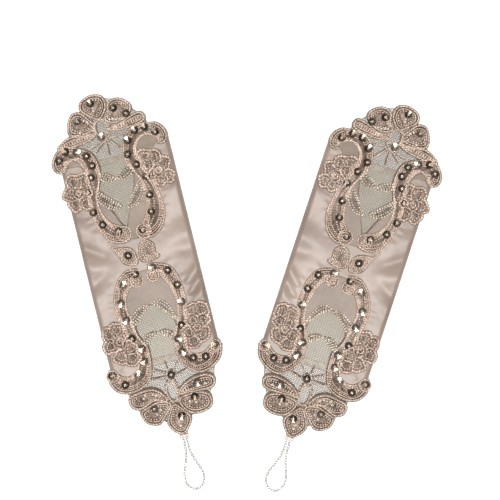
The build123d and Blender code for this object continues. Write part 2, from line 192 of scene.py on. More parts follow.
# Each scroll runs between two edges: the one by the window and the outer one; then its curled ends.
SCROLLS = {
    "arm": [([(-36, 83.5), (-40, 80), (-45, 81.3), (-46.8, 87), (-44, 93), (-39, 97.2), (-31, 97.2),
              (-24, 94), (-17, 89), (-14, 81), (-14, 73), (-16.5, 66), (-20.3, 59), (-20.5, 50),
              (-18.7, 42), (-15, 35.5), (-9, 31.5)],
             [(-40.5, 88), (-37, 87.8), (-34, 87), (-30, 88.2), (-25.5, 87.5), (-22.8, 83), (-21.8, 77),
              (-23, 70), (-26.5, 62), (-27.3, 52), (-26.8, 43), (-25.6, 36), (-23, 29), (-18, 22),
              (-10, 18.8), (-3.5, 20)],
             [((-7.2, 25.3), 5.6)]),
            ([(33, 85.5), (36.3, 84.2), (40, 86), (41.3, 90.5), (39.5, 96), (35, 100.3), (30, 101.2),
              (24, 102), (17, 101), (11, 96), (7.3, 88), (6.4, 80), (9, 73), (13, 65.5), (15, 58),
              (15.2, 50), (14.3, 42), (12, 34.5), (8, 30)],
             [(35.6, 91), (32, 91.6), (28, 93), (23.5, 93.8), (18.5, 91.3), (15, 86), (14.3, 80),
              (16.3, 74.5), (20.5, 67.5), (23.2, 60), (25, 52), (26.2, 45), (26.6, 38), (25, 30),
              (21, 23.2), (14.5, 18.8), (8, 18.2)],
             [((7.6, 24), 5.6)])],
    "hand": [([(-5.5, -15.6), (-9.5, -14), (-13.2, -15.7), (-17.6, -23), (-18.4, -31), (-17, -39),
               (-16.4, -46), (-14.3, -54), (-10.6, -60.5), (-10.3, -68), (-11, -75), (-13, -82),
               (-17, -87.3), (-24, -90.4), (-32, -91), (-39, -88.5), (-43, -83), (-44.5, -76.5)],
              [(-4, -3), (-8, -2), (-14, -3), (-20, -8), (-24, -15), (-26.3, -22), (-27, -30), (-26, -38),
               (-24.4, -45), (-22.6, -52), (-19.4, -58), (-18.6, -65), (-19.5, -72), (-23, -77),
               (-28, -79.3), (-33, -78.6), (-36.6, -75.6)],
              [((-6.4, -11), 5.0), ((-40.8, -76), 4.6)]),
             ([(6.5, -14.8), (10, -12.2), (12.6, -12.3), (16, -18), (18, -26), (18.7, -35), (17.3, -44),
               (14.6, -51.5), (10.8, -58), (9.7, -65), (9.9, -72), (12.4, -79), (17, -84.5), (23, -88),
               (30, -87.5), (36.5, -84.3), (41.3, -79.5), (43.6, -72)],
              [(3.5, -2), (7, -0.8), (13, -2.4), (18.6, -5), (22.6, -10), (25, -17), (25.7, -25),
               (25.8, -33), (24.3, -42), (21.6, -50), (18.2, -57), (17.4, -64), (17.7, -69), (20.5, -73),
               (25.5, -74.6), (31, -74), (35.5, -70.5)],
              [((6.6, -10), 4.6), ((39.3, -71.3), 4.2)])],
}
PETALS = {
    "arm": [[(-9, 103), (-20, 103), (-29, 104), (-38, 100), (-39.5, 97), (-32, 97), (-24, 97.5), (-16, 99)],
            [(-9.5, 108), (-14, 115.5), (-18.5, 120.5), (-24.5, 120.5), (-28.5, 114), (-29, 107),
             (-24, 104.5), (-14, 105)],
            [(-5.5, 113), (-13, 118), (-17, 123), (-15.5, 128.5), (-8, 131.5), (-1, 130), (1.5, 125.5),
             (0.5, 119)],
            [(-0.5, 111), (2.5, 116), (4, 123), (11, 125), (17.5, 121), (19.5, 115.5), (14, 109.5),
             (6, 107.5)],
            [(0.5, 104), (10, 106), (19, 109.5), (25.5, 110.5), (28, 106.5), (25, 103.2), (15, 101.8),
             (7, 101.5)]],
    "hand": [[(-6, -103.5), (-9, -96.5), (-16, -92.5), (-25, -93), (-32, -95), (-32, -101.5), (-26, -104.5),
              (-15, -101)],
             [(-4, -106.5), (-12, -103), (-20, -105), (-26.5, -108), (-24, -116), (-16, -119), (-10, -114)],
             [(-1.5, -107.5), (-6, -113), (-9, -120), (-6, -126.5), (-0.8, -130), (4, -127), (8, -120),
              (4, -113)],
             [(4, -104), (11, -102.5), (20, -103), (26, -107), (25, -114.5), (17, -117.5), (8.5, -115.5),
              (4, -109)],
             [(4.5, -100.5), (8, -95.5), (17, -91.5), (27, -91), (32, -95), (29.5, -100.5), (18, -101),
              (10, -100.5)]],
}
# The net eye that each end's petals stand round: centre, half width, half length.
EYES = {"arm": ((-5, 106), 4.6, 6.2), "hand": ((-0.5, -97.5), 3.8, 7.5)}
LEAVES = {
    "arm": [[(-13.5, 72.2), (-9.5, 71.3), (-6, 69), (-3.6, 66), (-8, 65.4), (-13.5, 67.6)],
            [(9.5, 74.5), (5, 72.3), (1, 70), (-2, 66.8), (1.5, 65.2), (6, 65.8), (10.3, 69.6)],
            [(-19.2, 60.5), (-14, 55.6), (-9, 50.6), (-4.4, 45.8), (-7.5, 44.4), (-12, 45.6), (-17, 49.5),
             (-20, 54.5)],
            [(13.6, 61), (8.2, 54.6), (3.4, 48.8), (0, 44.4), (4.6, 43.2), (9, 45), (12.6, 48.8),
             (15, 54.5)]],
    "hand": [[(-17.6, -37.6), (-12, -33), (-7, -30.6), (-2, -31), (-5.5, -34.4), (-10.5, -38.2),
              (-16.5, -43.4)],
             [(1, -30), (6, -28.8), (10.4, -31.6), (13.6, -38), (16.4, -46), (11.8, -41.8), (8, -36.4),
              (4.5, -33)],
             [(-11.3, -55.2), (-8, -52.4), (-2, -52.4), (-5.6, -55.6), (-11.6, -59)],
             [(1, -52.6), (6, -52.4), (9.4, -55), (10.6, -60), (5.6, -56.2)]],
}
# Cords that cross below each eye.
CROSSES = {
    "arm": [[(-6.5, 100.6), (-3.5, 97.5), (-1.5, 93.8)], [(0.5, 100.5), (-2, 97.4), (-5.5, 94.6)]],
    "hand": [[(-1.5, -90), (0.4, -86.4), (3.2, -82)], [(2.5, -90), (0.8, -86.4), (-2.4, -82.6)]],
}
WAIST = [[(-3, 1.5), (-2.8, 8), (-5.5, 13), (-11, 15), (-16.5, 15), (-14.5, 9.5), (-12, 4), (-7.5, 1.5)],
         [(1, 3), (0.8, 9), (3, 15), (8, 16.5), (12, 12.5), (12, 6.5), (14, 3.5), (7, 1.2)]]
# Short cords that tie the waist's motifs to the scrolls.
LINKS = [[(-16.5, 15), (-18.5, 18), (-20.5, 22)], [(-8, 2), (-8.5, -0.5), (-10, -3)],
         [(6, 1.5), (6.5, -0.5), (9, -2)], [(5, 16), (7, 17.8), (10, 18.5)], [(-3, 4), (-1, 5.5), (1, 4.5)],
         [(-3.4, 10), (-1.2, 11.5), (0.8, 10.5)]]
# Sequins; those marked 1 lean to throw the lamp's light and take a lighter foil, a painted highlight.
SEQUINS = {
    "arm": [(-41, 89.5, 0), (-35, 94.8, 0), (-27.3, 92.3, 1), (-20.5, 88, 0), (-18.2, 80, 0),
            (-21, 71.5, 0), (-26, 61, 0), (-25.5, 46, 0), (-21, 35.5, 0), (-10.5, 28, 0), (33.3, 93.5, 0),
            (26.5, 99, 0), (18.8, 98.2, 0), (12, 92, 0), (9.5, 82, 0), (14.3, 73.2, 0), (19, 63, 0),
            (18.3, 49, 0), (16.5, 36.5, 0), (7, 25, 0), (-9, 126, 0), (-21.5, 115, 1), (7, 118.5, 0),
            (15.3, 112.2, 0), (-6.5, 99, 1)],
    "hand": [(-8, 8.7, 0), (-6.3, -6, 0), (-16.8, -12, 1), (-21.5, -24.5, 1), (-20.5, -37.5, 1),
             (-20, -52, 0), (-14.3, -61, 1), (-15, -70.5, 1), (-22, -79.5, 1), (-33, -84.3, 0),
             (-40.8, -75.5, 0), (7.5, -4, 1), (18, -8.8, 0), (22.3, -21, 0), (22.7, -34, 1), (18.3, -51, 0),
             (13.2, -60, 1), (14, -70, 1), (21, -76.5, 0), (30.2, -77.8, 0), (39, -70.5, 1),
             (-22, -97.5, 1), (-16.5, -107, 1), (19.5, -95, 1), (15, -105, 0), (2, -117, 0), (2, -85, 0)],
}
PETAL_BEADS = [(-16.5, 114), (-14, 112.4), (-21, 105.7), (-8, 122), (-8, 119.8), (2.5, 110.6), (5, 110.2),
               (7.5, 109.2), (10, 109.3), (12.1, 108.8), (-15, -96.2), (-12.6, -97.4), (-15.5, -111.5),
               (-12, -108.8), (25, -97), (15, -109.4), (10.5, -107.5), (-1, -121), (-0.5, -124)]
SPRAYS = {
    "arm": [((-6, 95), (-13.5, 88.5)), ((-8.2, 95.3), (-17, 92.6)), ((-4, 93.5), (-4, 85)),
            ((-1, 95.5), (5.8, 87.3)), ((0.5, 97.2), (9, 96.2))],
    "hand": [((-0.5, -81.5), (-1, -75)), ((-2.5, -83.5), (-10, -79.5)), ((-2.5, -86.5), (-14, -85.5)),
             ((4.5, -82.5), (8, -78)), ((5, -86.5), (14, -84))],
}
# Folds pressed into the satin: from, to, half width, height (hollows are negative).
FOLDS = [((-40, 22), (-16, 6), 3.9, -0.9), ((-42, 8), (-18, 0), 5.2, 0.8), ((-40, -8), (-24, 2), 3.9, -0.7),
         ((-42, -20), (-27, -12), 4.5, 0.6), ((42, -10), (28, -22), 3.4, 0.9),
         ((42, -18), (27, -32), 3.1, -0.8), ((42, -27), (29, -39), 3.4, 0.7), ((42, 4), (16, 4), 5.2, -0.7),
         ((42, 16), (22, 12), 5.9, 0.7), ((41, 30), (28, 26), 5.2, -0.6), ((-41, 38), (-28, 28), 5.2, 0.6),
         ((-42, 48), (-28, 42), 3.9, -0.5), ((-16, 19), (-2, 1), 3.2, -0.4), ((14, 19), (14, 0), 3.2, -0.4),
         ((-42, -70), (-30, -75), 3.9, 0.4), ((42, 50), (27, 45), 5.2, 0.5),
         ((-40, 84), (-24, 80), 3.9, -0.5), ((38, 86), (22, 84), 3.9, -0.5)]

# The finger loop.
LOOP_Z = 1.1
STRAND_X = 1.4
LOOP_START_Y = -134.65
LOOP_ROUTE_HALF = [(STRAND_X, LOOP_START_Y), (1.3, -141), (2.0, -147.5), (4.6, -154.5), (7.4, -161.3),
                   (7.2, -168.3), (2.9, -173.2)]
ELASTIC = 0.4
BEAD = 1.1
BEAD_HOLE = 0.45
BEAD_LENGTH = 1.75
BEAD_PITCH = 2.1
HINGE_Y = -133.6
KNOT_RING = 0.74
KNOT_THREAD = 0.27
TACK_Y = -131.4
TACK_HALF = 2.75
TACK_STEP = 0.42
TACK_THREAD = 0.2
BAR = 0.3
BAR_HALF = 3.4
LEG_X = 3.1
PATCH = [(-2.8, -131.3), (2.8, -131.3), (2.8, -127.4), (-2.8, -127.4)]
PATCH_FOOT = 0.28
PATCH_TOP = 0.68

# The studio: the point the camera looks at, in metres, the eye above it, and the ways to the lamps.
AIM = np.array([0.0023, 0.0141, TOP * MM])
EYE = AIM + (0, 0, 1.0347)
LENS = 100
SENSOR = 36
CLIP_END = 20
KEY_WAY = np.array([0, -0.10, 1.0])
KEY_POWER = 3.7
KEY_ANGLE = math.radians(5.5)
KEY_COLOUR = (1.0, 0.985, 0.965)
FILL_WAY = np.array([0, 0.8, 1.0])
FILL_POWER = 0.25
FILL_ANGLE = math.radians(40)
SKY_POWER = 0.29
LAMP_AWAY = 2
FLOOR_HALF = 8.0
FLOOR_Z = -0.0001
PAPER = (0.93, 0.93, 0.93, 1)

# Thread shades: dull specks, painted glitter standing in for the glints of metal thread, and plain thread
# without them.
PAINTED_GLINT_SPECKS = (0.48, 0.40, 0.34)
PLAIN = (1.0, 1.0, 1.0)

UP = (0, 0, 1.0)
RIGHT = (1.0, 0, 0)

random = np.random.default_rng(SEED)


# Each glove's own frame, from the mounts.


def mount(name):
    """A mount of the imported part, by its name."""
    return next(m for m in frame["record"]["mounts"] if m["name"] == name)


class Glove:
    """One glove's place, and the way across it and along it."""

    def __init__(self, side):
        self.side = side
        self.flip = 1 if side == "left" else -1
        self.origin = np.array(mount(f"{side}_rest")["pos_m"])
        self.y = np.array(mount(f"{side}_arm_opening")["axis"])
        self.x = np.array([self.y[1], -self.y[0], 0.0]) * self.flip

    def world(self, points):
        """Metres in the row frame, from millimetres in the glove's."""
        p = np.asarray(points, float) * MM
        return self.origin + p[:, :1] * self.x + p[:, 1:2] * self.y + p[:, 2:] * np.array(UP)


GLOVES = [Glove("left"), Glove("right")]


def drop_at(y):
    """How far the lace lies below its flat height at y."""
    y = np.asarray(y, float)
    drop = np.zeros_like(y)
    for start, end in DRAPES:
        span = abs(end - start)
        past = np.clip((y - start) * (1 if end > start else -1), 0, span)
        radius = span / (2 * math.sin(2 * math.atan2(DROP, span)))
        near = np.minimum(past, span - past)
        dip = radius - np.sqrt(radius**2 - near**2)
        drop += np.where(past <= span / 2, dip, DROP - dip)
    return drop


def draped(parts):
    """Geometry with heights over the satin, put at its height in the glove's frame."""
    return [(np.column_stack([v[:, :2], v[:, 2] + TOP - drop_at(v[:, 1])]), f, tone) for v, f, tone in parts]


# Lines in the plane.


def angles(count):
    """Even steps once round a circle."""
    return np.arange(count) * 2 * math.pi / count


def polar(centre, radius, angle):
    """Points round a centre, or each round its own."""
    return centre + (radius * np.array([np.cos(angle), np.sin(angle)])).T


def own_axes(outline):
    """A closed outline's middle, and its long and short axes."""
    middle = outline.mean(0)
    return middle, np.linalg.svd(outline - middle, full_matrices=False)[2]


def lengths(line):
    """How far along a line each of its points lies."""
    return np.r_[0, np.cumsum(np.linalg.norm(np.diff(line, axis=0), axis=1))]


def points_at(line, along, at):
    """The points of a line at given distances along it."""
    return np.column_stack([np.interp(at, along, line[:, k]) for k in range(line.shape[1])])


def smooth(points, closed=False, step=0.3):
    """A curve through the points, with even steps."""
    p = np.array(points, float)
    if closed:
        p = np.vstack([p[-1], p, p[0], p[1]])
    else:
        p = np.vstack([2 * p[0] - p[1], p, 2 * p[-1] - p[-2]])
    t = np.linspace(0, 1, 16, endpoint=False)[:, None]
    rows = []
    for a, b, c, d in zip(p, p[1:], p[2:], p[3:]):
        square = 2 * a - 5 * b + 4 * c - d
        cube = 3 * b - a - 3 * c + d
        rows.append(0.5 * (2 * b + (c - a) * t + square * t**2 + cube * t**3))
    line = np.vstack([*rows, p[-2]])
    return resampled(line, max(3, round(lengths(line)[-1] / step) + 1))


def resampled(line, count):
    """The same line as count points in even steps."""
    along = lengths(line)
    return points_at(line, along, np.linspace(0, along[-1], count))


def between(near, far, share, step=0.4):
    """The line that runs a share of the way from one edge to the other."""
    a, b = smooth(near), smooth(far)
    count = int((len(a) + len(b)) * 0.15 / step)
    return resampled(a, count) * (1 - share) + resampled(b, count) * share


def runs(kept, least=5):
    """The unbroken runs of a mask, as index ranges."""
    edges = np.flatnonzero(np.diff(np.r_[0, kept.astype(int), 0]))
    return [np.arange(a, b) for a, b in zip(edges[::2], edges[1::2]) if b - a >= least]


def normals(line):
    t = np.gradient(line[:, :2], axis=0)
    t /= np.maximum(np.linalg.norm(t, axis=1), 1e-9)[:, None]
    return np.column_stack([-t[:, 1], t[:, 0]])


def shifted(line, distance):
    return line + normals(line) * distance


def inset(line, distance):
    """A closed line drawn in towards its middle."""
    middle, axes = own_axes(line)
    q = (line - middle) @ axes.T
    half = np.abs(q).max(0)
    return middle + (q * (np.maximum(half - distance, 0.15 * half) / half)) @ axes


def inside(points, outline):
    """Which points lie inside a closed outline."""
    x, y = points[:, 0][:, None], points[:, 1][:, None]
    a, b = outline, np.roll(outline, -1, axis=0)
    crosses = (a[:, 1] > y) != (b[:, 1] > y)
    rise = np.where(b[:, 1] == a[:, 1], 1e-9, b[:, 1] - a[:, 1])
    at = a[:, 0] + (y - a[:, 1]) * (b[:, 0] - a[:, 0]) / rise
    return (crosses & (x < at)).sum(1) % 2 == 1


def chords(outline, step):
    """Parallel chords across a closed outline, as two lists of ends."""
    middle, axes = own_axes(outline)
    q = (outline - middle) @ axes.T
    r = np.roll(q, -1, axis=0)
    ends = []
    for u in np.arange(q[:, 0].min() + step / 2, q[:, 0].max(), step):
        hit = (q[:, 0] > u) != (r[:, 0] > u)
        share = (u - q[hit, 0]) / (r[hit, 0] - q[hit, 0])
        v = q[hit, 1] + share * (r[hit, 1] - q[hit, 1])
        if len(v) >= 2:
            ends.append([(u, v.min()), (u, v.max())])
    ends = np.array(ends)
    return ends[:, 0] @ axes + middle, ends[:, 1] @ axes + middle


# Solid threads. Each maker gives (points, faces, tone): tone runs from 0, the darkest thread, to 1; the low
# tones of ground stitches, dark cords and second plies are painted shade.


def tubes(paths, radius, sides, tone, closed=False, up=UP):
    """Round threads along many paths of equal count, (threads, points, 3), none of them along up."""
    paths = np.asarray(paths, float)
    n, m, _ = paths.shape
    if closed:
        tangent = np.roll(paths, -1, axis=1) - np.roll(paths, 1, axis=1)
    else:
        tangent = np.gradient(paths, axis=1)
    tangent /= np.maximum(np.linalg.norm(tangent, axis=2), 1e-9)[:, :, None]
    across = np.cross(np.array(up), tangent)
    across /= np.maximum(np.linalg.norm(across, axis=2), 1e-9)[:, :, None]
    over = np.cross(tangent, across)
    turn = angles(sides)
    r = np.broadcast_to(radius, (n, m))[:, :, None, None]
    ring = np.cos(turn)[:, None] * across[:, :, None] + np.sin(turn)[:, None] * over[:, :, None]
    points = (paths[:, :, None] + r * ring).reshape(-1, 3)
    i = np.arange(n)[:, None, None] * m * sides
    j = np.arange(m if closed else m - 1)[None, :, None]
    k = np.arange(sides)[None, None, :]
    here, ahead, side = i + j * sides, i + (j + 1) % m * sides, (k + 1) % sides
    quads = np.stack([here + k, here + side, ahead + side, ahead + k], -1)
    faces = [quads.reshape(-1, 4)]
    if not closed:
        end = np.arange(n)[:, None] * m * sides + np.arange(sides)
        faces += [end[:, ::-1], end + (m - 1) * sides]
    return points, faces, np.repeat(np.broadcast_to(tone, n), m * sides)


def lifted(line, height):
    return np.column_stack([line[:, :2], np.broadcast_to(height, len(line))])


def plain_cord(line, height, radius, tone, closed=False):
    line = line[:-1] if closed else line
    return [tubes(lifted(line, height + radius)[None], radius, 6, tone, closed)]


def twisted_cord(line, height, radius=CORD, tone=1.0, closed=False, pitch=PITCH):
    """Two plies laid round each other along a line."""
    turns = max(1, round(lengths(line)[-1] / pitch))
    p = resampled(line[:, :2], turns * TURN_STEPS + 1)
    if closed:
        p = p[:-1]
        n = normals(np.vstack([p[-1], p, p[0]]))[1:-1]
    else:
        n = normals(p)
    angle = np.arange(len(p)) * 2 * math.pi / TURN_STEPS
    strands = []
    for start in (0, math.pi):
        lean = LAY * radius * np.cos(angle + start)
        rise = LAY * radius * np.sin(angle + start)
        strands.append(np.column_stack([p + n * lean[:, None], height + radius + rise]))
    # The second ply's darker tone is painted shade between the twists.
    return [tubes(strands, PLY * radius, 5, tone * np.array(PLIES), closed)]


def bars(a, b, height, tone, crown=0.25, radius=STITCH, steps=4):
    """Satin stitches from each point of a to the same point of b."""
    t = np.linspace(0, 1, steps)[None, :, None]
    flat = a[:, None, :2] * (1 - t) + b[:, None, :2] * t
    rise = height + radius + crown * np.sin(math.pi * t[:, :, 0])
    z = np.broadcast_to(rise, flat.shape[:2])[:, :, None]
    wave = 0.05 * random.standard_normal((len(a), 1, 1))
    size = radius * (1 + 0.14 * random.standard_normal((len(a), 1))).clip(0.7, 1.3)
    tones = (tone + 0.12 * random.standard_normal(len(a))).clip(0, 1)
    return [tubes(np.concatenate([flat, z + wave], axis=2), size, 4, tones)]


def ball(segments=7, rings=4):
    """A small round template: points and faces."""
    points = [(0, 0, -1)]
    for i in range(1, rings):
        a = math.pi * i / rings - math.pi / 2
        for t in angles(segments):
            points.append((math.cos(a) * math.cos(t), math.cos(a) * math.sin(t), math.sin(a)))
    points.append((0, 0, 1))
    k = np.arange(segments)
    nxt = (k + 1) % segments
    faces = [np.column_stack([np.zeros(segments, int), 1 + nxt, 1 + k])]
    for i in range(rings - 2):
        low, high = 1 + i * segments, 1 + (i + 1) * segments
        faces.append(np.column_stack([low + k, low + nxt, high + nxt, high + k]))
    top = 1 + (rings - 2) * segments
    faces.append(np.column_stack([top + k, top + nxt, np.full(segments, len(points) - 1)]))
    return np.array(points), faces


def rolled(loops):
    """Points and faces of a closed ring of loops, each loop of as many points."""
    count = len(loops[0])
    k = np.arange(count)
    nxt = (k + 1) % count
    faces = []
    for i in range(len(loops)):
        low, high = i * count, (i + 1) % len(loops) * count
        faces.append(np.column_stack([low + k, high + k, high + nxt, low + nxt]))
    return np.vstack(loops), faces


def copies(template, places, tone, turns=None):
    """Copies of a template (points, faces) at places, each turned by its own matrix if turns are given."""
    points, faces = template
    places = np.asarray(places, float)
    body = points[None] if turns is None else np.einsum("nij,pj->npi", turns, points)
    out = (places[:, None] + body).reshape(-1, 3)
    start = np.arange(len(places))[:, None, None] * len(points)
    tones = np.repeat(np.broadcast_to(tone, len(places)), len(points))
    return [(out, [(f[None] + start).reshape(-1, f.shape[1]) for f in faces], tones)]


def knots(line, height, tone=0.9, radius=KNOT, step=KNOT_STEP, closed=False):
    """A row of tiny knots along a line."""
    p = resampled(line[:, :2], max(3, round(lengths(line)[-1] / step) + 1))
    p = p[:-1] if closed else p
    p += 0.06 * random.standard_normal(p.shape)
    points, faces = ball() if radius > 0.5 else ball(6, 3)
    tones = (tone - 0.35 * random.random(len(p)) ** 2).clip(0, 1)
    return copies((points * radius, faces), lifted(p, height + radius), tones)


# Sheets of cloth.


def cut(outline, step):
    """Triangles that fill an outline, with points about step apart."""
    low, high = outline.min(0), outline.max(0)
    rows = np.arange(low[1] + step / 2, high[1], step * 0.866)
    grid = []
    for i, y in enumerate(rows):
        xs = np.arange(low[0] + (i % 2) * step / 2, high[0], step)
        grid.append(np.column_stack([xs, np.full(len(xs), y)]))
    grid = np.vstack(grid)
    grid = grid[inside(grid, outline)]
    away = np.full(len(grid), np.inf)
    for p in outline:
        away = np.minimum(away, np.linalg.norm(grid - p, axis=1))
    grid = grid[away > step * 0.6]
    points = [Vector(p) for p in np.vstack([outline, grid])]
    made = delaunay_2d_cdt(points, [], [list(range(len(outline)))], 1, 1e-5)
    return np.array([tuple(v) for v in made[0]]), np.array([f for f in made[2] if len(f) == 3])


def folds_at(p):
    """Height of the folds in the satin at points of the sleeve."""
    height = np.zeros(len(p))
    for start, end, width, size in FOLDS:
        a, b = np.array(start, float), np.array(end, float)
        t = ((p - a) @ (b - a)) / ((b - a) @ (b - a))
        near = a + np.clip(t, 0, 1)[:, None] * (b - a)
        away = np.linalg.norm(p - near, axis=1)
        fade = np.clip(1.3 - np.clip(t, 0, 1), 0, 1)
        height += size * fade * np.exp(-((away / width) ** 2))
    ripple = np.sin(p[:, 0] * 0.31 + 1.3 * np.sin(p[:, 1] * 0.11)) * np.sin(p[:, 1] * 0.17 + 0.6)
    return height + 0.12 * ripple


def lace_hold(p):
    """How much the lace holds the satin down, from 0 to 1, and the puckers that its edges pull up."""
    cover, pucker = np.zeros(len(p)), np.zeros(len(p))
    for end in ("arm", "hand"):
        cover = np.maximum(cover, inside(p, smooth(NETS[end], True, 1.5)))
        for near, far, _ in SCROLLS[end]:
            middle = between(near, far, 0.5, 1.0)
            apart = np.linalg.norm(p[:, None] - middle[None], axis=2)
            nearest, away = apart.argmin(1), apart.min(1)
            cover = np.maximum(cover, np.clip(2.6 - away / 3.5, 0, 1))
            wave = np.sin(nearest * 1.25 + 1.5 * np.sin(nearest * 0.23))
            pucker += PUCKER * wave * np.exp(-((away - 7.5) / 3.2) ** 2)
        for lobes, heart in ROSES[end]:
            for x, y, radius in [*lobes, heart]:
                away = np.hypot(p[:, 0] - x, p[:, 1] - y) - radius
                cover = np.maximum(cover, np.clip(1 - away / 4, 0, 1))
    for outline in WAIST:
        away = np.linalg.norm(p - np.array(outline).mean(0), axis=1)
        cover = np.maximum(cover, np.clip(2 - away / 8, 0, 1))
    return cover, pucker


def wrapped(p, lift, upper):
    """Flat cloth laid over half of the sleeve: its place and its outward normal."""
    s = p[:, 0]
    bend = np.clip((np.abs(s) - FLAT_HALF) / SIDE, 0, math.pi / 2)
    x = np.sign(s) * (np.minimum(np.abs(s), FLAT_HALF) + SIDE * np.sin(bend))
    z = SIDE * np.cos(bend)
    nx, nz = np.sign(s) * np.sin(bend), np.cos(bend)
    nx = np.where(np.abs(s) < FLAT_HALF, 0.0, nx)
    sign = 1 if upper else -1
    place = np.column_stack([x + nx * lift, p[:, 1], SIDE + sign * (z + nz * lift)])
    return place, np.column_stack([nx, np.zeros(len(s)), sign * nz])


def two_sided(outer, inner, triangles, upper):
    """A closed sheet from its two faces, with the outer face's triangles first."""
    edges = np.sort(np.vstack([triangles[:, [0, 1]], triangles[:, [1, 2]], triangles[:, [2, 0]]]), axis=1)
    rim, uses = np.unique(edges, axis=0, return_counts=True)
    rim = set(map(tuple, rim[uses == 1]))
    n = len(outer)
    out = triangles if upper else triangles[:, ::-1]
    walls = []
    for a, b, c in out:
        for i, j in ((a, b), (b, c), (c, a)):
            if (min(i, j), max(i, j)) in rim:
                walls.append((j, i, i + n, j + n))
    return np.vstack([outer, inner]), [out, out[:, ::-1] + n, np.array(walls)]


def satin_panel(outline, upper):
    """A panel with its folds pressed in, thinning towards its cut edges."""
    p, triangles = cut(outline, CLOTH_STEP)
    side_fade = np.clip((SHEET_HALF - np.abs(p[:, 0])) / SEAM_FADE, 0, 1)
    if upper:
        cover, pucker = lace_hold(p)
        fold = folds_at(p) + pucker
        free = 1 - cover
        hollow = fold * (HOLLOW_KEPT + (1 - HOLLOW_KEPT) * free)
        lift = side_fade * np.where(fold > 0, fold * free, hollow) - SETTLED
    else:
        lift = np.zeros(len(p))
    outer, normal = wrapped(p, lift, upper)
    away = np.full(len(p), np.inf)
    for x, y in outline[np.abs(outline[:, 0]) < CUT_HALF]:
        away = np.minimum(away, np.hypot(p[:, 0] - x, p[:, 1] - y))
    thick = FABRIC * np.clip(0.3 + away / 3, 0.3, 1)
    inner = outer - normal * thick[:, None]
    return two_sided(outer, inner, triangles, upper)


def straight(a, b, step):
    """A straight line in even steps."""
    return np.linspace(a, b, round(math.dist(a, b) / step) + 1)


def front_outline():
    """The front panel, cut away to a notch at both ends."""
    s = SATIN_FRONT
    arm_left, arm_right, hand_right, hand_left = [smooth(points, False, CLOTH_STEP) for points in (
        [*s["arm_left"], s["arm_notch"]], [s["arm_notch"], *s["arm_right"]],
        [*s["hand_right"], s["hand_notch"]], [s["hand_notch"], *s["hand_left"]],
    )]
    right = straight(arm_right[-1], hand_right[0], FRONT_EDGE_STEP)[1:-1]
    left = straight(hand_left[-1], arm_left[0], FRONT_EDGE_STEP)[1:-1]
    return np.vstack([arm_left[:-1], arm_right, right, hand_right[:-1], hand_left, left])[::-1]


def back_outline():
    """The back panel, straight across at both ends."""
    low, high = (-SHEET_HALF, BACK_HAND_EDGE), (SHEET_HALF, BACK_ARM_EDGE)
    corners = [low, (high[0], low[1]), high, (low[0], high[1]), low]
    return np.vstack([straight(a, b, BACK_EDGE_STEP)[:-1] for a, b in zip(corners, corners[1:])])


# The lace.


def net_outline(end):
    return smooth(NETS[end], True, 0.8)


def net(end):
    """Six-sided meshes of fine thread, thicker and darker beyond the sleeve."""
    outline = net_outline(end)
    edge = NET_PITCH / math.sqrt(3)
    low, high = outline.min(0) - NET_PITCH, outline.max(0) + NET_PITCH
    starts, ends = [], []
    for row, y in enumerate(np.arange(low[1], high[1], 1.5 * edge)):
        x = np.arange(low[0], high[0], NET_PITCH) + (row % 2) * NET_PITCH / 2
        centre = np.column_stack([x, np.full(len(x), y)])
        ways = [(math.sin(a), math.cos(a)) for a in np.radians([0, 60, 120, 180])]
        corner = [centre + edge * np.array(way) for way in ways]
        starts += corner[:-1]
        ends += corner[1:]
    a, b = np.vstack(starts), np.vstack(ends)
    kept = inside((a + b) / 2, outline)
    a, b = a[kept], b[kept]
    t = (b - a) / np.linalg.norm(b - a, axis=1)[:, None]
    beyond = (a[:, 1] > BACK_ARM_EDGE) | (a[:, 1] < BACK_HAND_EDGE)
    width = np.where(beyond, NET_END_THREAD, NET_THREAD)[:, None]
    n = np.column_stack([-t[:, 1], t[:, 0]]) * width / 2
    wedges = [[lifted(p - n, NET_FOOT), lifted(p + n, NET_FOOT), lifted(p, NET_TOP)] for p in (a, b)]
    points = np.stack(wedges[0] + wedges[1], axis=1).reshape(-1, 3)
    start = np.arange(len(a))[:, None] * 6
    faces = [start + np.array(f) for f in ([1, 0, 3, 4], [2, 1, 4, 5], [0, 2, 5, 3], [0, 1, 2], [5, 4, 3])]
    rim = twisted_cord(outline, 0.0, NET_RIM, 0.5, True, THIN_PITCH)
    return [(points, faces, np.repeat(np.where(beyond, 0.0, 1.0), 6))] + rim


def scroll(near, far, curls):
    """A corded band between two edges, with rows of knots, and a coiled curl at its ends."""
    a, b = between(near, far, 0.0), between(near, far, 1.0)
    width = np.linalg.norm(b - a, axis=1)
    pick = np.arange(0, len(a), max(1, round(STITCH_STEP / 0.4)))
    # Dark ground stitches across the band: painted shade between the raised cords.
    parts = bars((a + 0.06 * (b - a))[pick], (b + 0.06 * (a - b))[pick], LACE, 0.09, 0.1)
    for p, q in ((a, b), (b, a)):
        across = (q - p) / width[:, None]
        # A dark cord outside each edge, a painted shadow.
        parts += plain_cord(resampled(p - across * 0.4, len(p) // 2), LACE, SHADOW_CORD, SHADOW_TONE)
        parts += twisted_cord(p + across * 0.5, LACE + 0.3)
        for depth, knotted in SCROLL_ROWS:
            for run in runs(depth < width / 2 - 0.1):
                line = (p + across * depth)[run]
                parts += knots(line, LACE + 0.25, 0.95) if knotted else thin_cord(line)
    parts += knots((a + b) / 2, LACE + 0.3, 1.0, 0.6, 1.9)
    for centre, radius in curls:
        parts += curl(np.array(centre, float), radius)
    return parts


def thin_cord(line, closed=False):
    """The thin cord inside a motif's edge."""
    return twisted_cord(line, LACE + 0.35, THIN_CORD, 0.95, closed, THIN_PITCH)


def ring(centre, rx, ry=None, step=0.4):
    """A closed ring, round or oval."""
    ry = ry or rx
    count = max(12, int(2 * math.pi * max(rx, ry) / step))
    t = np.linspace(0, 2 * math.pi, count + 1)
    return np.column_stack([centre[0] + rx * np.cos(t), centre[1] + ry * np.sin(t)])


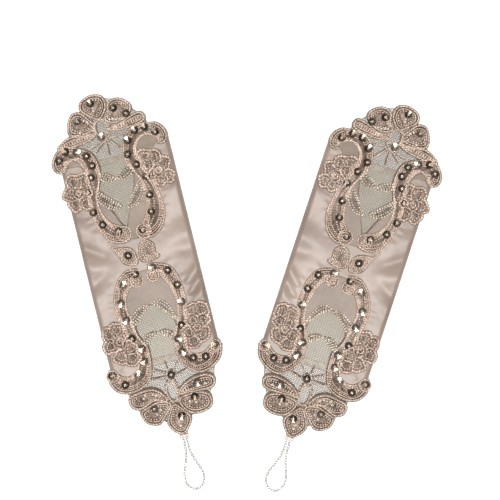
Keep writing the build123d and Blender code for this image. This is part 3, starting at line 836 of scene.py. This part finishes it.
def curl(centre, radius):
    """A round end: an outer cord, a ring of knots and a spiral to the middle."""
    t = np.linspace(0, 1, 60)
    spiral = polar(centre, radius * (0.66 - 0.56 * t), 2 * math.pi * 1.6 * t + 1.0)
    # Dark ground stitches: painted shade under the cords.
    parts = bars(*chords(ring(centre, radius - 0.6), STITCH_STEP), LACE + 0.4, 0.2, 0.1)
    parts += twisted_cord(ring(centre, radius - 0.4), LACE + 0.5, closed=True)
    parts += knots(ring(centre, radius - 1.9), LACE + 0.7, 1.0, 0.5, closed=True)
    parts += twisted_cord(spiral, LACE + 0.75, 0.5)
    return parts


def shadow_cord(outline):
    """A dark cord round a closed motif's edge, a painted shadow."""
    return plain_cord(resampled(outline, len(outline) // 2)[:-1], LACE, SHADOW_CORD, SHADOW_TONE, True)


def motif(points, margin, tone, crown, rim, rise, inner):
    """A closed outline, with its stitched ground, its dark cord as painted shadow, its rim and a thin cord
    inside.
    """
    outline = smooth(points, True, MOTIF_STEP)
    parts = bars(*chords(inset(outline[:-1], margin), STITCH_STEP), LACE, tone, crown)
    parts += shadow_cord(inset(outline, -0.8))
    parts += twisted_cord(inset(outline, rim), LACE + rise, closed=True)
    return outline, parts + thin_cord(inset(outline, inner), True)


def petal(points):
    """A scalloped petal with a row of knots, and pale stitches in a wide one."""
    # The dark ground tone is painted shade between the raised threads.
    outline, parts = motif(points, 0.4, 0.16, 0.1, 0.1, 0.3, 2.15)
    middle, axes = own_axes(outline)
    half = np.abs((outline - middle) @ axes.T).max(0).min()
    if half > 4.0:
        parts += knots(inset(outline, 3.8), LACE + 0.3, 1.0, 0.66, 2.0, True)
    if half > 5.8:
        parts += bars(*chords(inset(outline, 5.0), STITCH_STEP), LACE + 0.2, 0.45, 0.15)
    return parts


def eye(centre, half_x, half_y):
    """The open eye that the petals stand round, laddered with short stitches."""
    inner, outer = ring(centre, half_x, half_y, 0.9), ring(centre, half_x + 2.0, half_y + 2.0, 0.9)
    pick = np.linspace(0, len(inner) - 1, 30).astype(int)[:-1]
    parts = twisted_cord(ring(centre, half_x, half_y), LACE + 0.2, 0.5, 1.0, True)
    outer = resampled(outer, len(inner))
    return parts + bars(inner[pick], outer[pick], LACE + 0.1, 0.75, 0.2)


def picot_leaf(points):
    """A leaf edged and filled with rows of knots."""
    outline = smooth(points, True, MOTIF_STEP)
    # Dark ground stitches: painted shade between the rows of knots.
    parts = bars(*chords(inset(outline[:-1], 0.5), 0.95), LACE, 0.24, 0.1, 0.24)
    parts += knots(outline, LACE + 0.15, 1.0, 0.84, 2.05, True)
    parts += knots(inset(outline, 1.9), LACE + 0.3, 1.0, 0.66, 1.9, True)
    return parts


def wavy_ring(centre, radius, size):
    """A ring whose edge wanders a little, always the same way round one centre."""
    line = ring(centre, radius, step=0.3)
    turn = np.arctan2(line[:, 1] - centre[1], line[:, 0] - centre[0])
    phase = centre[0] * 1.7 + centre[1]
    wander = 0.28 * size * np.sin(3 * turn + phase) + 0.2 * size * np.sin(5 * turn - 2 * phase)
    return polar(line, wander, turn)


def uncovered(points, circles):
    """Which points lie outside all the circles."""
    free = np.ones(len(points), bool)
    for x, y, radius in circles:
        free &= np.hypot(points[:, 0] - x, points[:, 1] - y) > radius
    return free


def open_runs(line, circles):
    """The parts of a closed line outside the circles."""
    line = line[:-1]
    free = uncovered(line, circles)
    if free.all():
        return [np.vstack([line, line[:1]])]
    first = int(np.argmin(free))
    line, free = np.roll(line, -first, axis=0), np.roll(free, -first)
    return [line[run] for run in runs(free)]


def open_chords(outline, step, circles):
    """The longest part of each chord across an outline that is outside the circles."""
    starts, ends = [], []
    for a, b in zip(*chords(outline, step)):
        line = a + (b - a) * np.linspace(0, 1, 15)[:, None]
        free = runs(uncovered(line, circles), 3)
        if free:
            run = max(free, key=len)
            starts.append(line[run[0]])
            ends.append(line[run[-1]])
    return np.array(starts).reshape(-1, 2), np.array(ends).reshape(-1, 2)


def rose(lobes, heart):
    """Lobes that overlap, each with a thick rim and rows of knots, and a coiled heart."""
    parts = []
    circles = [*lobes, heart]
    for i, (x, y, radius) in enumerate(circles):
        above = circles[i + 1:]
        others = circles[:i] + above
        height = LACE + 0.8 * i / len(lobes)

        def rims(grow, size, cover):
            return open_runs(wavy_ring((x, y), radius + grow, size), cover)

        a, b = open_chords(ring((x, y), radius - 0.4), STITCH_STEP, above)
        # Darker ground stitches: painted shade under the rims.
        parts += bars(a, b, height, 0.3, 0.3) if len(a) else []
        for line in rims(-0.1, 1.7, above):
            parts += twisted_cord(line, height + 0.3, THIN_CORD, 0.85)
        for line in rims(-2.3, 1.4, above):
            parts += knots(line, height + 0.3, 1.0, 0.6, 1.8)
        for line in rims(0.2, 1.7, others):
            parts += twisted_cord(line, height + 0.35, 0.84)
        # A dark ring just inside each rim, painted shade.
        for line in rims(-1.2, 1.6, others):
            parts += plain_cord(line, height + 0.05, SHADOW_CORD, SHADOW_TONE)
        # A dark ring just outside each rim, a painted shadow.
        for line in rims(1.25, 1.6, [(u, v, r + 0.6) for u, v, r in others]):
            parts += plain_cord(line, LACE, SHADOW_CORD, SHADOW_TONE)
    x, y, radius = heart
    t = np.linspace(0, 1, 50)
    spiral = polar((x, y), (radius - 1.6) * (1 - 0.8 * t), 2 * math.pi * 1.5 * t)
    return parts + twisted_cord(spiral, LACE + 1.5, 0.44)


def waist(points):
    """One half of the waist's motif, with two rows of knots."""
    # The darker ground tone is painted shade between the raised threads.
    outline, parts = motif(points, 0.6, 0.25, 0.2, 0.2, 0.2, 1.7)
    for distance in (2.9, 4.5):
        parts += knots(inset(outline, distance), LACE + 0.3, 1.0, closed=True)
    return parts


def coil(start, tip, radius=0.72):
    """A ray wound closely with thread, with a row of knots along it."""
    a, b = np.array(start, float), np.array(tip, float)
    count = int(np.linalg.norm(b - a) / 0.2)
    t = np.linspace(0, 1, count)
    line = a + (b - a) * t[:, None]
    ends = np.sqrt(np.clip(1 - (2 * t - 1) ** 10, 0.02, 1))
    size = radius * ends * (0.8 + 0.2 * np.cos(np.arange(count) * math.pi))
    core = tubes(lifted(line, SPRAY_FOOT + radius)[None], size[None], 8, 0.42)
    return [core] + knots(line, SPRAY_FOOT + 0.15 + radius, 1.0, 0.66, 1.6)


# Sequins and beads.


def sequin_shape():
    """A cup with eight flat facets and a sewing hole."""
    angle = angles(32)
    facet = np.cos((angle % (math.pi / 4)) - math.pi / 8)
    span = SEQUIN_RADII[2] - SEQUIN_RADII[0]
    loops = []
    for lift, radii in ((SEQUIN_SHEET, SEQUIN_RADII), (0.0, SEQUIN_RADII[::-1])):
        for r in radii:
            z = CUP * np.maximum(r * facet - SEQUIN_FLAT, 0) / span
            loops.append(np.column_stack([r * np.cos(angle), r * np.sin(angle), z + lift]))
    return rolled(loops)


def turn_about(axis, angle):
    k = np.array([[0, -axis[2], axis[1]], [axis[2], 0, -axis[0]], [-axis[1], axis[0], 0]])
    return np.eye(3) + math.sin(angle) * k + (1 - math.cos(angle)) * k @ k


def tilts(count, least, most):
    """Random leans, each after a random spin, as 3 by 3 matrices."""
    out = []
    for lean, way in zip(random.uniform(least, most, count), random.uniform(0, 2 * math.pi, count)):
        spin = turn_about((0, 0, 1), random.uniform(0, 2 * math.pi))
        out.append(turn_about((math.cos(way), math.sin(way), 0), lean) @ spin)
    return np.array(out)


def facing(places, turns):
    """Turns that also lean each sequin to where it throws the lamp at the eye."""
    glove = GLOVES[0]
    seen = EYE - glove.world(places)
    half = seen / np.linalg.norm(seen, axis=1)[:, None] + KEY_WAY / np.linalg.norm(KEY_WAY)
    half = np.column_stack([half @ glove.x, half @ glove.y, half[:, 2]])
    out = []
    for (hx, hy, hz), turn in zip(half, turns):
        flat = math.hypot(hx, hy)
        axis = np.array([-hy, hx, 0]) / (flat or 1.0)
        out.append(turn_about(axis, math.atan2(flat, hz)) @ turn)
    return np.array(out)


def sequin_parts(end):
    """One end's sequins: the dark ones nearly flat, the bright ones near where they flash and given a
    lighter foil as painted highlight.
    """
    places = np.array([(x, y, SEQUIN_FOOT) for x, y, _ in SEQUINS[end]], float)
    bright = np.array([b for _, _, b in SEQUINS[end]], bool)
    turns = tilts(len(places), *np.radians(DULL_LEAN))
    turns[bright] = facing(places[bright], tilts(bright.sum(), *np.radians(BRIGHT_LEAN)))
    shape = sequin_shape()
    parts = copies(shape, places[~bright], 0.0, turns[~bright])
    # Bright sequins take tone 0.5, a lighter foil: painted highlight.
    return parts + copies(shape, places[bright], 0.5, turns[bright])


def bead_shape(radius, hole, length, segments=14):
    """A rocaille bead about its X axis."""
    turn = angles(8)
    wall = (radius - hole) / 2
    profile = np.column_stack([length / 2 * np.sin(turn), (radius + hole) / 2 + wall * np.cos(turn)])
    angle = angles(segments)
    return rolled([np.column_stack([np.full(segments, x), r * np.cos(angle), r * np.sin(angle)])
                   for x, r in profile])


def standing(count, lean):
    """Beads whose holes stand up, as 3 by 3 matrices."""
    up = np.array([[0, 0, -1.0], [0, 1, 0], [1, 0, 0]])
    return np.array([t @ up for t in tilts(count, 0.2 * lean, lean)])


def bead_parts(places, radius, height):
    """Beads at places in the plane, leaning up to 30 degrees."""
    p = np.array([(x, y, height) for x, y in places], float)
    return copies(bead_shape(radius, 0.22, radius * 1.5, 12), p, 0.5, standing(len(p), math.radians(30)))


# Pieces.


def linked(name, data):
    """A new object in the scene."""
    made = bpy.data.objects.new(name, data)
    bpy.context.scene.collection.objects.link(made)
    return made


def make_mesh(name, points, faces, tones=None):
    mesh = bpy.data.meshes.new(name)
    mesh.from_pydata(points.tolist(), [], [f for block in faces for f in block.tolist()])
    if tones is not None:
        mesh.attributes.new("tone", "FLOAT", "POINT").data.foreach_set("value", tones.astype(np.float32))
    mesh.update()
    return linked(name, mesh)


def joined(parts):
    """One piece's points, faces and tones from its parts."""
    points, faces, tones, start = [], [], [], 0
    for v, f, tone in parts:
        points.append(v)
        faces += [np.asarray(block) + start for block in f]
        tones.append(np.broadcast_to(tone, len(v)))
        start += len(v)
    return np.vstack(points), faces, np.concatenate(tones)


def attach(made, node, body):
    """Makes a piece ride on a body in place of its CAD node."""
    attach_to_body(made, body)
    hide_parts(node)


def place(glove, node, suffix, geometry, materials, smooth_faces=True, body="glove"):
    """One glove's piece, from its points, faces and tones, in place of a CAD node."""
    points, faces, tones = geometry
    if glove.flip < 0:
        faces = [block[:, ::-1] for block in faces]
    name = f"{glove.side}_{node}"
    made = make_mesh(f"{name}_{suffix}", glove.world(points), faces, tones)
    for m in materials:
        made.data.materials.append(m)
    if smooth_faces:
        made.data.shade_smooth()
    attach(made, name, f"{glove.side}_{body}")
    return made


def both(node, suffix, parts, material, smooth_faces=True):
    """The same lace on both gloves, from heights above the satin."""
    geometry = joined(draped(parts))
    return [place(g, node, suffix, geometry, [material], smooth_faces) for g in GLOVES]


# Materials.


class Nodes:
    """A material's node tree with short ways to add to it."""

    def __init__(self, name):
        self.material = bpy.data.materials.new(name)
        self.material.use_nodes = True
        self.tree = self.material.node_tree
        self.shader = self.tree.nodes["Principled BSDF"]
        self.where = self.add("ShaderNodeTexCoord").outputs["Object"]

    def add(self, kind, inputs=None, **values):
        """A node whose inputs are set, or linked where they are given another node's output."""
        node = self.tree.nodes.new(kind)
        for key, value in values.items():
            setattr(node, key, value)
        for key, value in (inputs or {}).items():
            if isinstance(value, bpy.types.NodeSocket):
                self.link(value, node.inputs[key])
            else:
                node.inputs[key].default_value = value
        return node

    def link(self, out, into):
        self.tree.links.new(out, into)

    def put(self, **values):
        """Values on the shader's inputs."""
        for key, value in values.items():
            self.shader.inputs[key.replace("_", " ")].default_value = value

    def colour(self, out):
        self.link(out, self.shader.inputs["Base Color"])

    def tone(self):
        """The shade that each point of the mesh carries, from 0 to 1."""
        return self.add("ShaderNodeAttribute", attribute_name="tone").outputs["Fac"]

    def noise(self, size, detail=3.0):
        """Noise whose features are about size metres."""
        inputs = {"Scale": 1 / size, "Detail": detail, "Vector": self.where}
        return self.add("ShaderNodeTexNoise", inputs).outputs["Fac"]

    def weave(self, pitch, turn):
        """Fine ribs, pitch metres apart."""
        turned = self.add("ShaderNodeMapping", {"Rotation": (0, 0, turn), "Vector": self.where})
        inputs = {"Scale": 0.314 / pitch, "Distortion": 0.4, "Vector": turned.outputs["Vector"]}
        return self.add("ShaderNodeTexWave", inputs).outputs["Fac"]

    def ramp(self, value, low, high, start=0.0, end=1.0):
        """A colour that runs from low to high as value runs from start to end."""
        node = self.add("ShaderNodeValToRGB", {"Fac": value})
        for element, at, colour in zip(node.color_ramp.elements, (start, end), (low, high)):
            element.position = at
            element.color = (*colour, 1)
        return node.outputs["Color"]

    def multiply(self, a, b):
        inputs = {0: 1.0, 6: a, 7: b}
        return self.add("ShaderNodeMix", inputs, data_type="RGBA", blend_type="MULTIPLY").outputs[2]

    def bump(self, heights, distance):
        """Adds up heights, each (value, share), as bump."""
        last = None
        for value, share in heights:
            inputs = {"Strength": share, "Distance": distance, "Height": value}
            if last:
                inputs["Normal"] = last
            last = self.add("ShaderNodeBump", inputs).outputs["Normal"]
        self.link(last, self.shader.inputs["Normal"])


def satin_material(name, light, dark, roughness, sheen):
    n = Nodes(name)
    colour = n.ramp(n.noise(0.03, 2.0), dark, light, 0.3, 0.7)
    threads = n.ramp(n.weave(0.0003, 0.24), (0.96, 0.96, 0.96), (1.0, 1.0, 1.0))
    n.colour(n.multiply(colour, threads))
    n.put(Roughness=roughness, Sheen_Weight=sheen, Sheen_Roughness=0.4, Specular_IOR_Level=0.42)
    n.bump([(n.weave(0.0003, 0.24), 0.03), (n.noise(0.006, 2.0), 0.35)], 0.0004)
    return n.material


def thread_material(name, dark, light, roughness=0.34, sheen=0.06, fibre=0.00035, glint=PAINTED_GLINT_SPECKS):
    """Thread whose shade follows the piece's tone, with dull specks painted in as painted glitter of metal
    thread.
    """
    n = Nodes(name)
    colour = n.ramp(n.tone(), dark, light)
    mottled = n.ramp(n.noise(0.0045, 3.0), (0.74, 0.70, 0.66), (1.0, 1.0, 1.0), 0.36, 0.62)
    # Random dull specks, painted glitter of metal thread.
    glitter = n.ramp(n.noise(0.0011, 1.0), glint, (1.0, 1.0, 1.0), 0.385, 0.47)
    n.colour(n.multiply(n.multiply(colour, mottled), glitter))
    n.put(Roughness=roughness, Sheen_Weight=sheen, Sheen_Roughness=0.35, Specular_IOR_Level=0.6)
    n.bump([(n.weave(fibre, 0.9), 0.35), (n.noise(0.0004, 2.0), 0.3)], 0.00012)
    return n.material


def sequin_material():
    n = Nodes("sequin_foil")
    # Tone lightens the foil; the bright sequins' lighter foil is a painted highlight.
    colour = n.ramp(n.tone(), (0.10, 0.076, 0.058), (0.48, 0.40, 0.335))
    tarnish = n.ramp(n.noise(0.003, 2.0), (0.70, 0.66, 0.58), (1.0, 1.0, 1.0), 0.35, 0.65)
    n.colour(n.multiply(colour, tarnish))
    n.put(Metallic=0.92, Roughness=0.2, Coat_Weight=0.3, Coat_Roughness=0.1)
    return n.material


def bead_material(name, low, high, metallic, roughness):
    n = Nodes(name)
    n.colour(n.ramp(n.noise(0.0018, 2.0), low, high, 0.3, 0.7))
    n.put(Metallic=metallic, Roughness=roughness, Coat_Weight=0.7, Coat_Roughness=0.05)
    return n.material


def lace_materials():
    """The lace's threads and trimmings, by name."""
    netting = (0.27, 0.20, 0.105), (0.328, 0.25, 0.182)
    cord = (0.09, 0.05, 0.03), (0.99, 0.805, 0.69)
    return {
        "net": thread_material("net_thread", *netting, 0.6, 0.05, glint=PLAIN),
        "cord": thread_material("lace_cord_thread", *cord),
        "petal": thread_material("lace_stitch_thread", (0.095, 0.055, 0.034), (0.99, 0.815, 0.70)),
        "rose": thread_material("rose_thread", *cord),
        "picot": thread_material("picot_thread", (0.055, 0.038, 0.026), (0.97, 0.86, 0.74)),
        "spray": thread_material("spray_thread", (0.06, 0.038, 0.026), (0.90, 0.73, 0.61)),
        "foil": sequin_material(),
        "seed": bead_material("lustred_seed", (0.52, 0.43, 0.34), (0.80, 0.72, 0.62), 0.3, 0.2),
        "pearl": bead_material("pearl", (0.66, 0.62, 0.54), (0.88, 0.85, 0.78), 0.0, 0.18),
    }


# Scene.


def lamp(name, way, power, angle, colour=(1, 1, 1)):
    """A sun whose light comes from the direction way."""
    data = bpy.data.lights.new(name, "SUN")
    data.energy = power
    data.color = colour
    data.angle = angle
    made = linked(name, data)
    made.location = AIM + LAMP_AWAY * way / np.linalg.norm(way)
    made.rotation_euler = Vector(way).to_track_quat("Z", "Y").to_euler()


def studio():
    """The camera, a paper floor, two lamps and an even sky."""
    camera = bpy.data.cameras.new("camera")
    camera.lens = LENS
    camera.sensor_width = SENSOR
    camera.clip_end = CLIP_END
    made = linked("camera", camera)
    made.location = EYE
    bpy.context.scene.camera = made

    corners = np.array([(-1, -1, 0), (1, -1, 0), (1, 1, 0), (-1, 1, 0)]) * FLOOR_HALF
    floor = make_mesh("floor", corners, [np.array([[0, 1, 2, 3]])])
    floor.location.z = FLOOR_Z
    n = Nodes("floor_paper")
    n.put(Base_Color=PAPER, Roughness=0.9)
    floor.data.materials.append(n.material)

    lamp("key", KEY_WAY, KEY_POWER, KEY_ANGLE, KEY_COLOUR)
    lamp("fill", FILL_WAY, FILL_POWER, FILL_ANGLE)
    world = bpy.data.worlds.new("world")
    world.use_nodes = True
    sky = world.node_tree.nodes["Background"]
    sky.inputs["Color"].default_value = (1, 1, 1, 1)
    sky.inputs["Strength"].default_value = SKY_POWER
    bpy.context.scene.world = world
    bpy.context.scene.view_settings.view_transform = "Standard"


def elastic_cord(glove, name, material):
    """The elastic, from one knot round the finger to the other, and its middle line."""
    route = [(-x, y) for x, y in LOOP_ROUTE_HALF] + LOOP_ROUTE_HALF[::-1]
    points = glove.world([(x, y, LOOP_Z) for x, y in route])
    curve = bpy.data.curves.new(name, "CURVE")
    curve.dimensions = "3D"
    curve.resolution_u = 10
    spline = curve.splines.new("NURBS")
    spline.points.add(len(points) - 1)
    for control, p in zip(spline.points, points):
        control.co = (*p, 1)
    spline.order_u = 3
    spline.use_endpoint_u = True
    cord = linked(name, curve)
    bare = bpy.data.meshes.new_from_object(cord)
    line = np.array([tuple(v.co) for v in bare.vertices])
    bpy.data.meshes.remove(bare)
    curve.bevel_depth = ELASTIC * MM
    curve.bevel_resolution = 3
    curve.materials.append(material)
    return cord, line


def strung_beads(line):
    """Beads side by side along the elastic, in metres."""
    along = lengths(line)
    count = int(along[-1] / (BEAD_PITCH * MM))
    at = (np.arange(count) + 0.5) * along[-1] / count
    centre = points_at(line, along, at)
    ahead = points_at(line, along, at + ELASTIC * MM) - centre
    ahead /= np.linalg.norm(ahead, axis=1)[:, None]
    side = np.cross(UP, ahead)
    turns = np.stack([ahead, side, np.cross(ahead, side)], axis=2)
    centre[:, 2] = LOOP_Z * MM
    size = MM * (1 + 0.04 * random.standard_normal(count)).clip(0.9, 1.0)
    shape = bead_shape(BEAD, BEAD_HOLE, BEAD_LENGTH, 16)
    return joined(copies(shape, centre, 0.5, turns * size[:, None, None]))


def finger_loop(glove, elastic_stuff, bead_stuff):
    """Beads strung on a round elastic, out along one strand, round the finger and back."""
    name = f"{glove.side}_loop"
    cord, line = elastic_cord(glove, f"{name}_elastic_cord", elastic_stuff)
    beads = make_mesh(f"{name}_beads_strung", *strung_beads(line))
    beads.data.materials.append(bead_stuff)
    beads.data.shade_smooth()
    attach(cord, f"{name}_elastic", name)
    attach(beads, f"{name}_beads", name)
    wound = place(glove, "loop_knots", "wound", joined(loop_knots()), [elastic_stuff], body="loop")
    tuple(glove.world([(STRAND_X, LOOP_START_Y, LOOP_Z)])[0])


def upright_ring(x, y, z, radius_y, radius_z, count):
    """A ring that stands across X."""
    t = angles(count)
    return np.column_stack([np.full(count, x), y + radius_y * np.cos(t), z + radius_z * np.sin(t)])


def loop_knots():
    """Each end of the elastic, wound round the thread bar."""
    parts = []
    for side in (-1, 1):
        for shift in (-0.45, 0.0, 0.45):
            path = upright_ring(side * STRAND_X + shift, HINGE_Y, LOOP_Z, KNOT_RING, KNOT_RING, 18)
            parts.append(tubes(path[None], KNOT_THREAD, 6, 0.9, True, RIGHT))
    return parts


def anchor_parts():
    """A bar tack of close stitches at the lace's point, with the thread bar and its satin patch."""
    places = np.arange(-TACK_HALF, TACK_HALF + 0.05, TACK_STEP)
    loops = [upright_ring(x, TACK_Y, 0.9, 0.42, 0.5, 12) for x in places]
    parts = [tubes(loops, TACK_THREAD, 5, 0.9, True, RIGHT)]
    bar = np.linspace((-BAR_HALF, HINGE_Y, LOOP_Z), (BAR_HALF, HINGE_Y, LOOP_Z), 12)
    parts.append(tubes(bar[None], BAR, 8, 0.8))
    for x in (-LEG_X, LEG_X):
        leg = np.linspace((x, HINGE_Y, LOOP_Z), (x, TACK_Y, LOOP_Z), 5)
        parts.append(tubes(leg[None], BAR, 6, 0.8))
    p, triangles = cut(smooth(PATCH, True, 0.5)[:-1], 0.8)
    points, faces = two_sided(lifted(p, PATCH_TOP), lifted(p, PATCH_FOOT), triangles, True)
    parts.append((points, faces, 0.6))
    return parts


def band(a, b, c, d, count):
    """The outline of a band with one long edge from a to b and the other from c to d."""
    return np.vstack([np.linspace(a, b, count), np.linspace(c, d, count)])


def hem(edge, inward):
    """A hem turned up inside the back panel, with a row of running stitches."""
    low, high = sorted((edge + inward * HEM_GAP, edge + inward * HEM_DEPTH))
    p, triangles = cut(band((-HEM_HALF, low), (HEM_HALF, low), (HEM_HALF, high), (-HEM_HALF, high), 40), 1.2)
    crown = 0.12 * np.sin(math.pi * np.clip((p[:, 1] - low) / (high - low), 0, 1))
    ripple = 0.04 * np.sin(p[:, 0] * 1.1)
    top, foot = lifted(p, FABRIC + 0.3 + crown + ripple), lifted(p, FABRIC + 0.04)
    points, faces = two_sided(top, foot, triangles, True)
    x = np.arange(-HEM_ROW_HALF, HEM_ROW_HALF, HEM_STITCH_STEP)
    y = np.full(len(x), edge + inward * HEM_ROW)
    ends = np.column_stack([x + HEM_STITCH, y])
    return [(points, faces, 0.5)] + bars(np.column_stack([x, y]), ends, FABRIC + 0.32, 1.0, 0.12, 0.16)


def overlock(side):
    """A seam allowance that stands into the sleeve, bound with an overlock stitch."""
    near, far = sorted((side * SEAM_INNER, side * SEAM_OUTER))
    y = np.arange(BACK_HAND_EDGE + SEAM_STOP, BACK_ARM_EDGE - SEAM_STOP, 0.25)
    p, triangles = cut(band((far, y[0]), (far, y[-1]), (near, y[-1]), (near, y[0]), 60), 1.4)
    top, foot = lifted(p, SIDE + SEAM_THICK_HALF), lifted(p, SIDE - SEAM_THICK_HALF)
    points, faces = two_sided(top, foot, triangles, True)
    turn = y * 2 * math.pi / OVERLOCK_PITCH
    x = side * (SEAM_INNER + WRAP_AT - WRAP_REACH * np.cos(turn))
    wrap = np.column_stack([x, y, SIDE + WRAP_RISE * np.sin(turn)])
    height = SIDE + WRAP_RISE + 0.03 * np.sin(y * 4)
    chain = np.column_stack([np.full(len(y), side * (SEAM_INNER + CHAIN_AT)), y, height])
    threads = [tubes(wrap[None], WRAP_THREAD, 5, 1.0), tubes(chain[None], CHAIN_THREAD, 5, 1.0)]
    return [(points, faces, 0.4), *threads]


def panels(satin, wrong_side):
    """Both satin panels of both gloves, each a sheet with its wrong side in."""
    for node, outline, upper, flat in (
        ("satin_front", front_outline(), True, FRONT_SIZE),
        ("satin_back", back_outline(), False, BACK_SIZE),
    ):
        points, faces = satin_panel(outline, upper)
        right, wrong, rim = [len(block) for block in faces]
        for g in GLOVES:
            made = place(g, node, "cloth", (points, faces, None), [satin, wrong_side])
            index = np.repeat([0, 1, 0], [right, wrong, rim]).astype(np.int32)
            made.data.polygons.foreach_set("material_index", index)


def lace(end, stuff):
    """The lace and trimmings of one end of both gloves."""
    for made in both(f"{end}_net", "meshes", net(end), stuff["net"]):
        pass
    both(f"{end}_scrolls", "corded", [p for row in SCROLLS[end] for p in scroll(*row)], stuff["cord"])
    both(f"{end}_roses", "stitched", [p for row in ROSES[end] for p in rose(*row)], stuff["rose"])
    parts = [p for o in PETALS[end] for p in petal(o)] + eye(*EYES[end])
    parts += [p for line in CROSSES[end] for p in twisted_cord(smooth(line), LACE + 0.5, 0.5)]
    both(f"{end}_petals", "stitched", parts, stuff["petal"])
    both(f"{end}_leaves", "picots", [p for o in LEAVES[end] for p in picot_leaf(o)], stuff["picot"])
    both(f"{end}_sequins", "foil", sequin_parts(end), stuff["foil"], False)
    centres = [(x, y) for x, y, _ in SEQUINS[end]]
    seeds = bead_parts(centres, SEED_BEAD, SEQUIN_FOOT + SEED_BEAD_RISE)
    both(f"{end}_sequin_beads", "glass", seeds, stuff["seed"])
    both(f"{end}_spray", "wound", [p for ray in SPRAYS[end] for p in coil(*ray)], stuff["spray"])


def waist_parts():
    """The waist's motif and the cords that tie it to the scrolls."""
    parts = [p for o in WAIST for p in waist(o)]
    for line in LINKS:
        curve = smooth(line)
        parts += twisted_cord(curve, LACE + 0.1, 0.5) + knots(shifted(curve, 1.1), LACE, 0.9, 0.4, 1.2)
    return parts


def build():
    studio()
    pale, bright = (0.70, 0.68, 0.64), (0.86, 0.85, 0.82)
    elastic = thread_material("elastic_cover", pale, bright, 0.6, 0.2, 0.0002, PLAIN)
    silver = bead_material("silver_lined_glass", (0.60, 0.60, 0.58), (0.92, 0.92, 0.90), 0.55, 0.16)
    for g in GLOVES:
        finger_loop(g, elastic, silver)

    satin = satin_material("blush_satin", (0.308, 0.234, 0.195), (0.200, 0.147, 0.119), 0.42, 0.12)
    # The wrong side's pale colour is painted light, made paler to make up for the shade inside the sleeve.
    wrong_side = satin_material("satin_wrong_side", (0.80, 0.78, 0.70), (0.73, 0.71, 0.63), 0.7, 0.1)
    panels(satin, wrong_side)
    trim = thread_material("seam_thread", (0.80, 0.77, 0.69), (0.90, 0.87, 0.79), 0.6, 0.2, glint=PLAIN)
    for node, parts in (
        ("arm_hem", hem(BACK_ARM_EDGE, -1)),
        ("hand_hem", hem(BACK_HAND_EDGE, 1)),
        ("side_seams", overlock(-1) + overlock(1)),
    ):
        for g in GLOVES:
            place(g, node, "sewn", joined(parts), [trim])

    stuff = lace_materials()
    for end in ("arm", "hand"):
        lace(end, stuff)
    both("waist_motif", "stitched", waist_parts(), stuff["cord"])
    both("petal_beads", "pearls", bead_parts(PETAL_BEADS, PETAL_BEAD, PETAL_BEAD_HEIGHT), stuff["pearl"])
    for g in GLOVES:
        place(g, "loop_anchor", "tack", joined(anchor_parts()), [stuff["picot"]])


build()
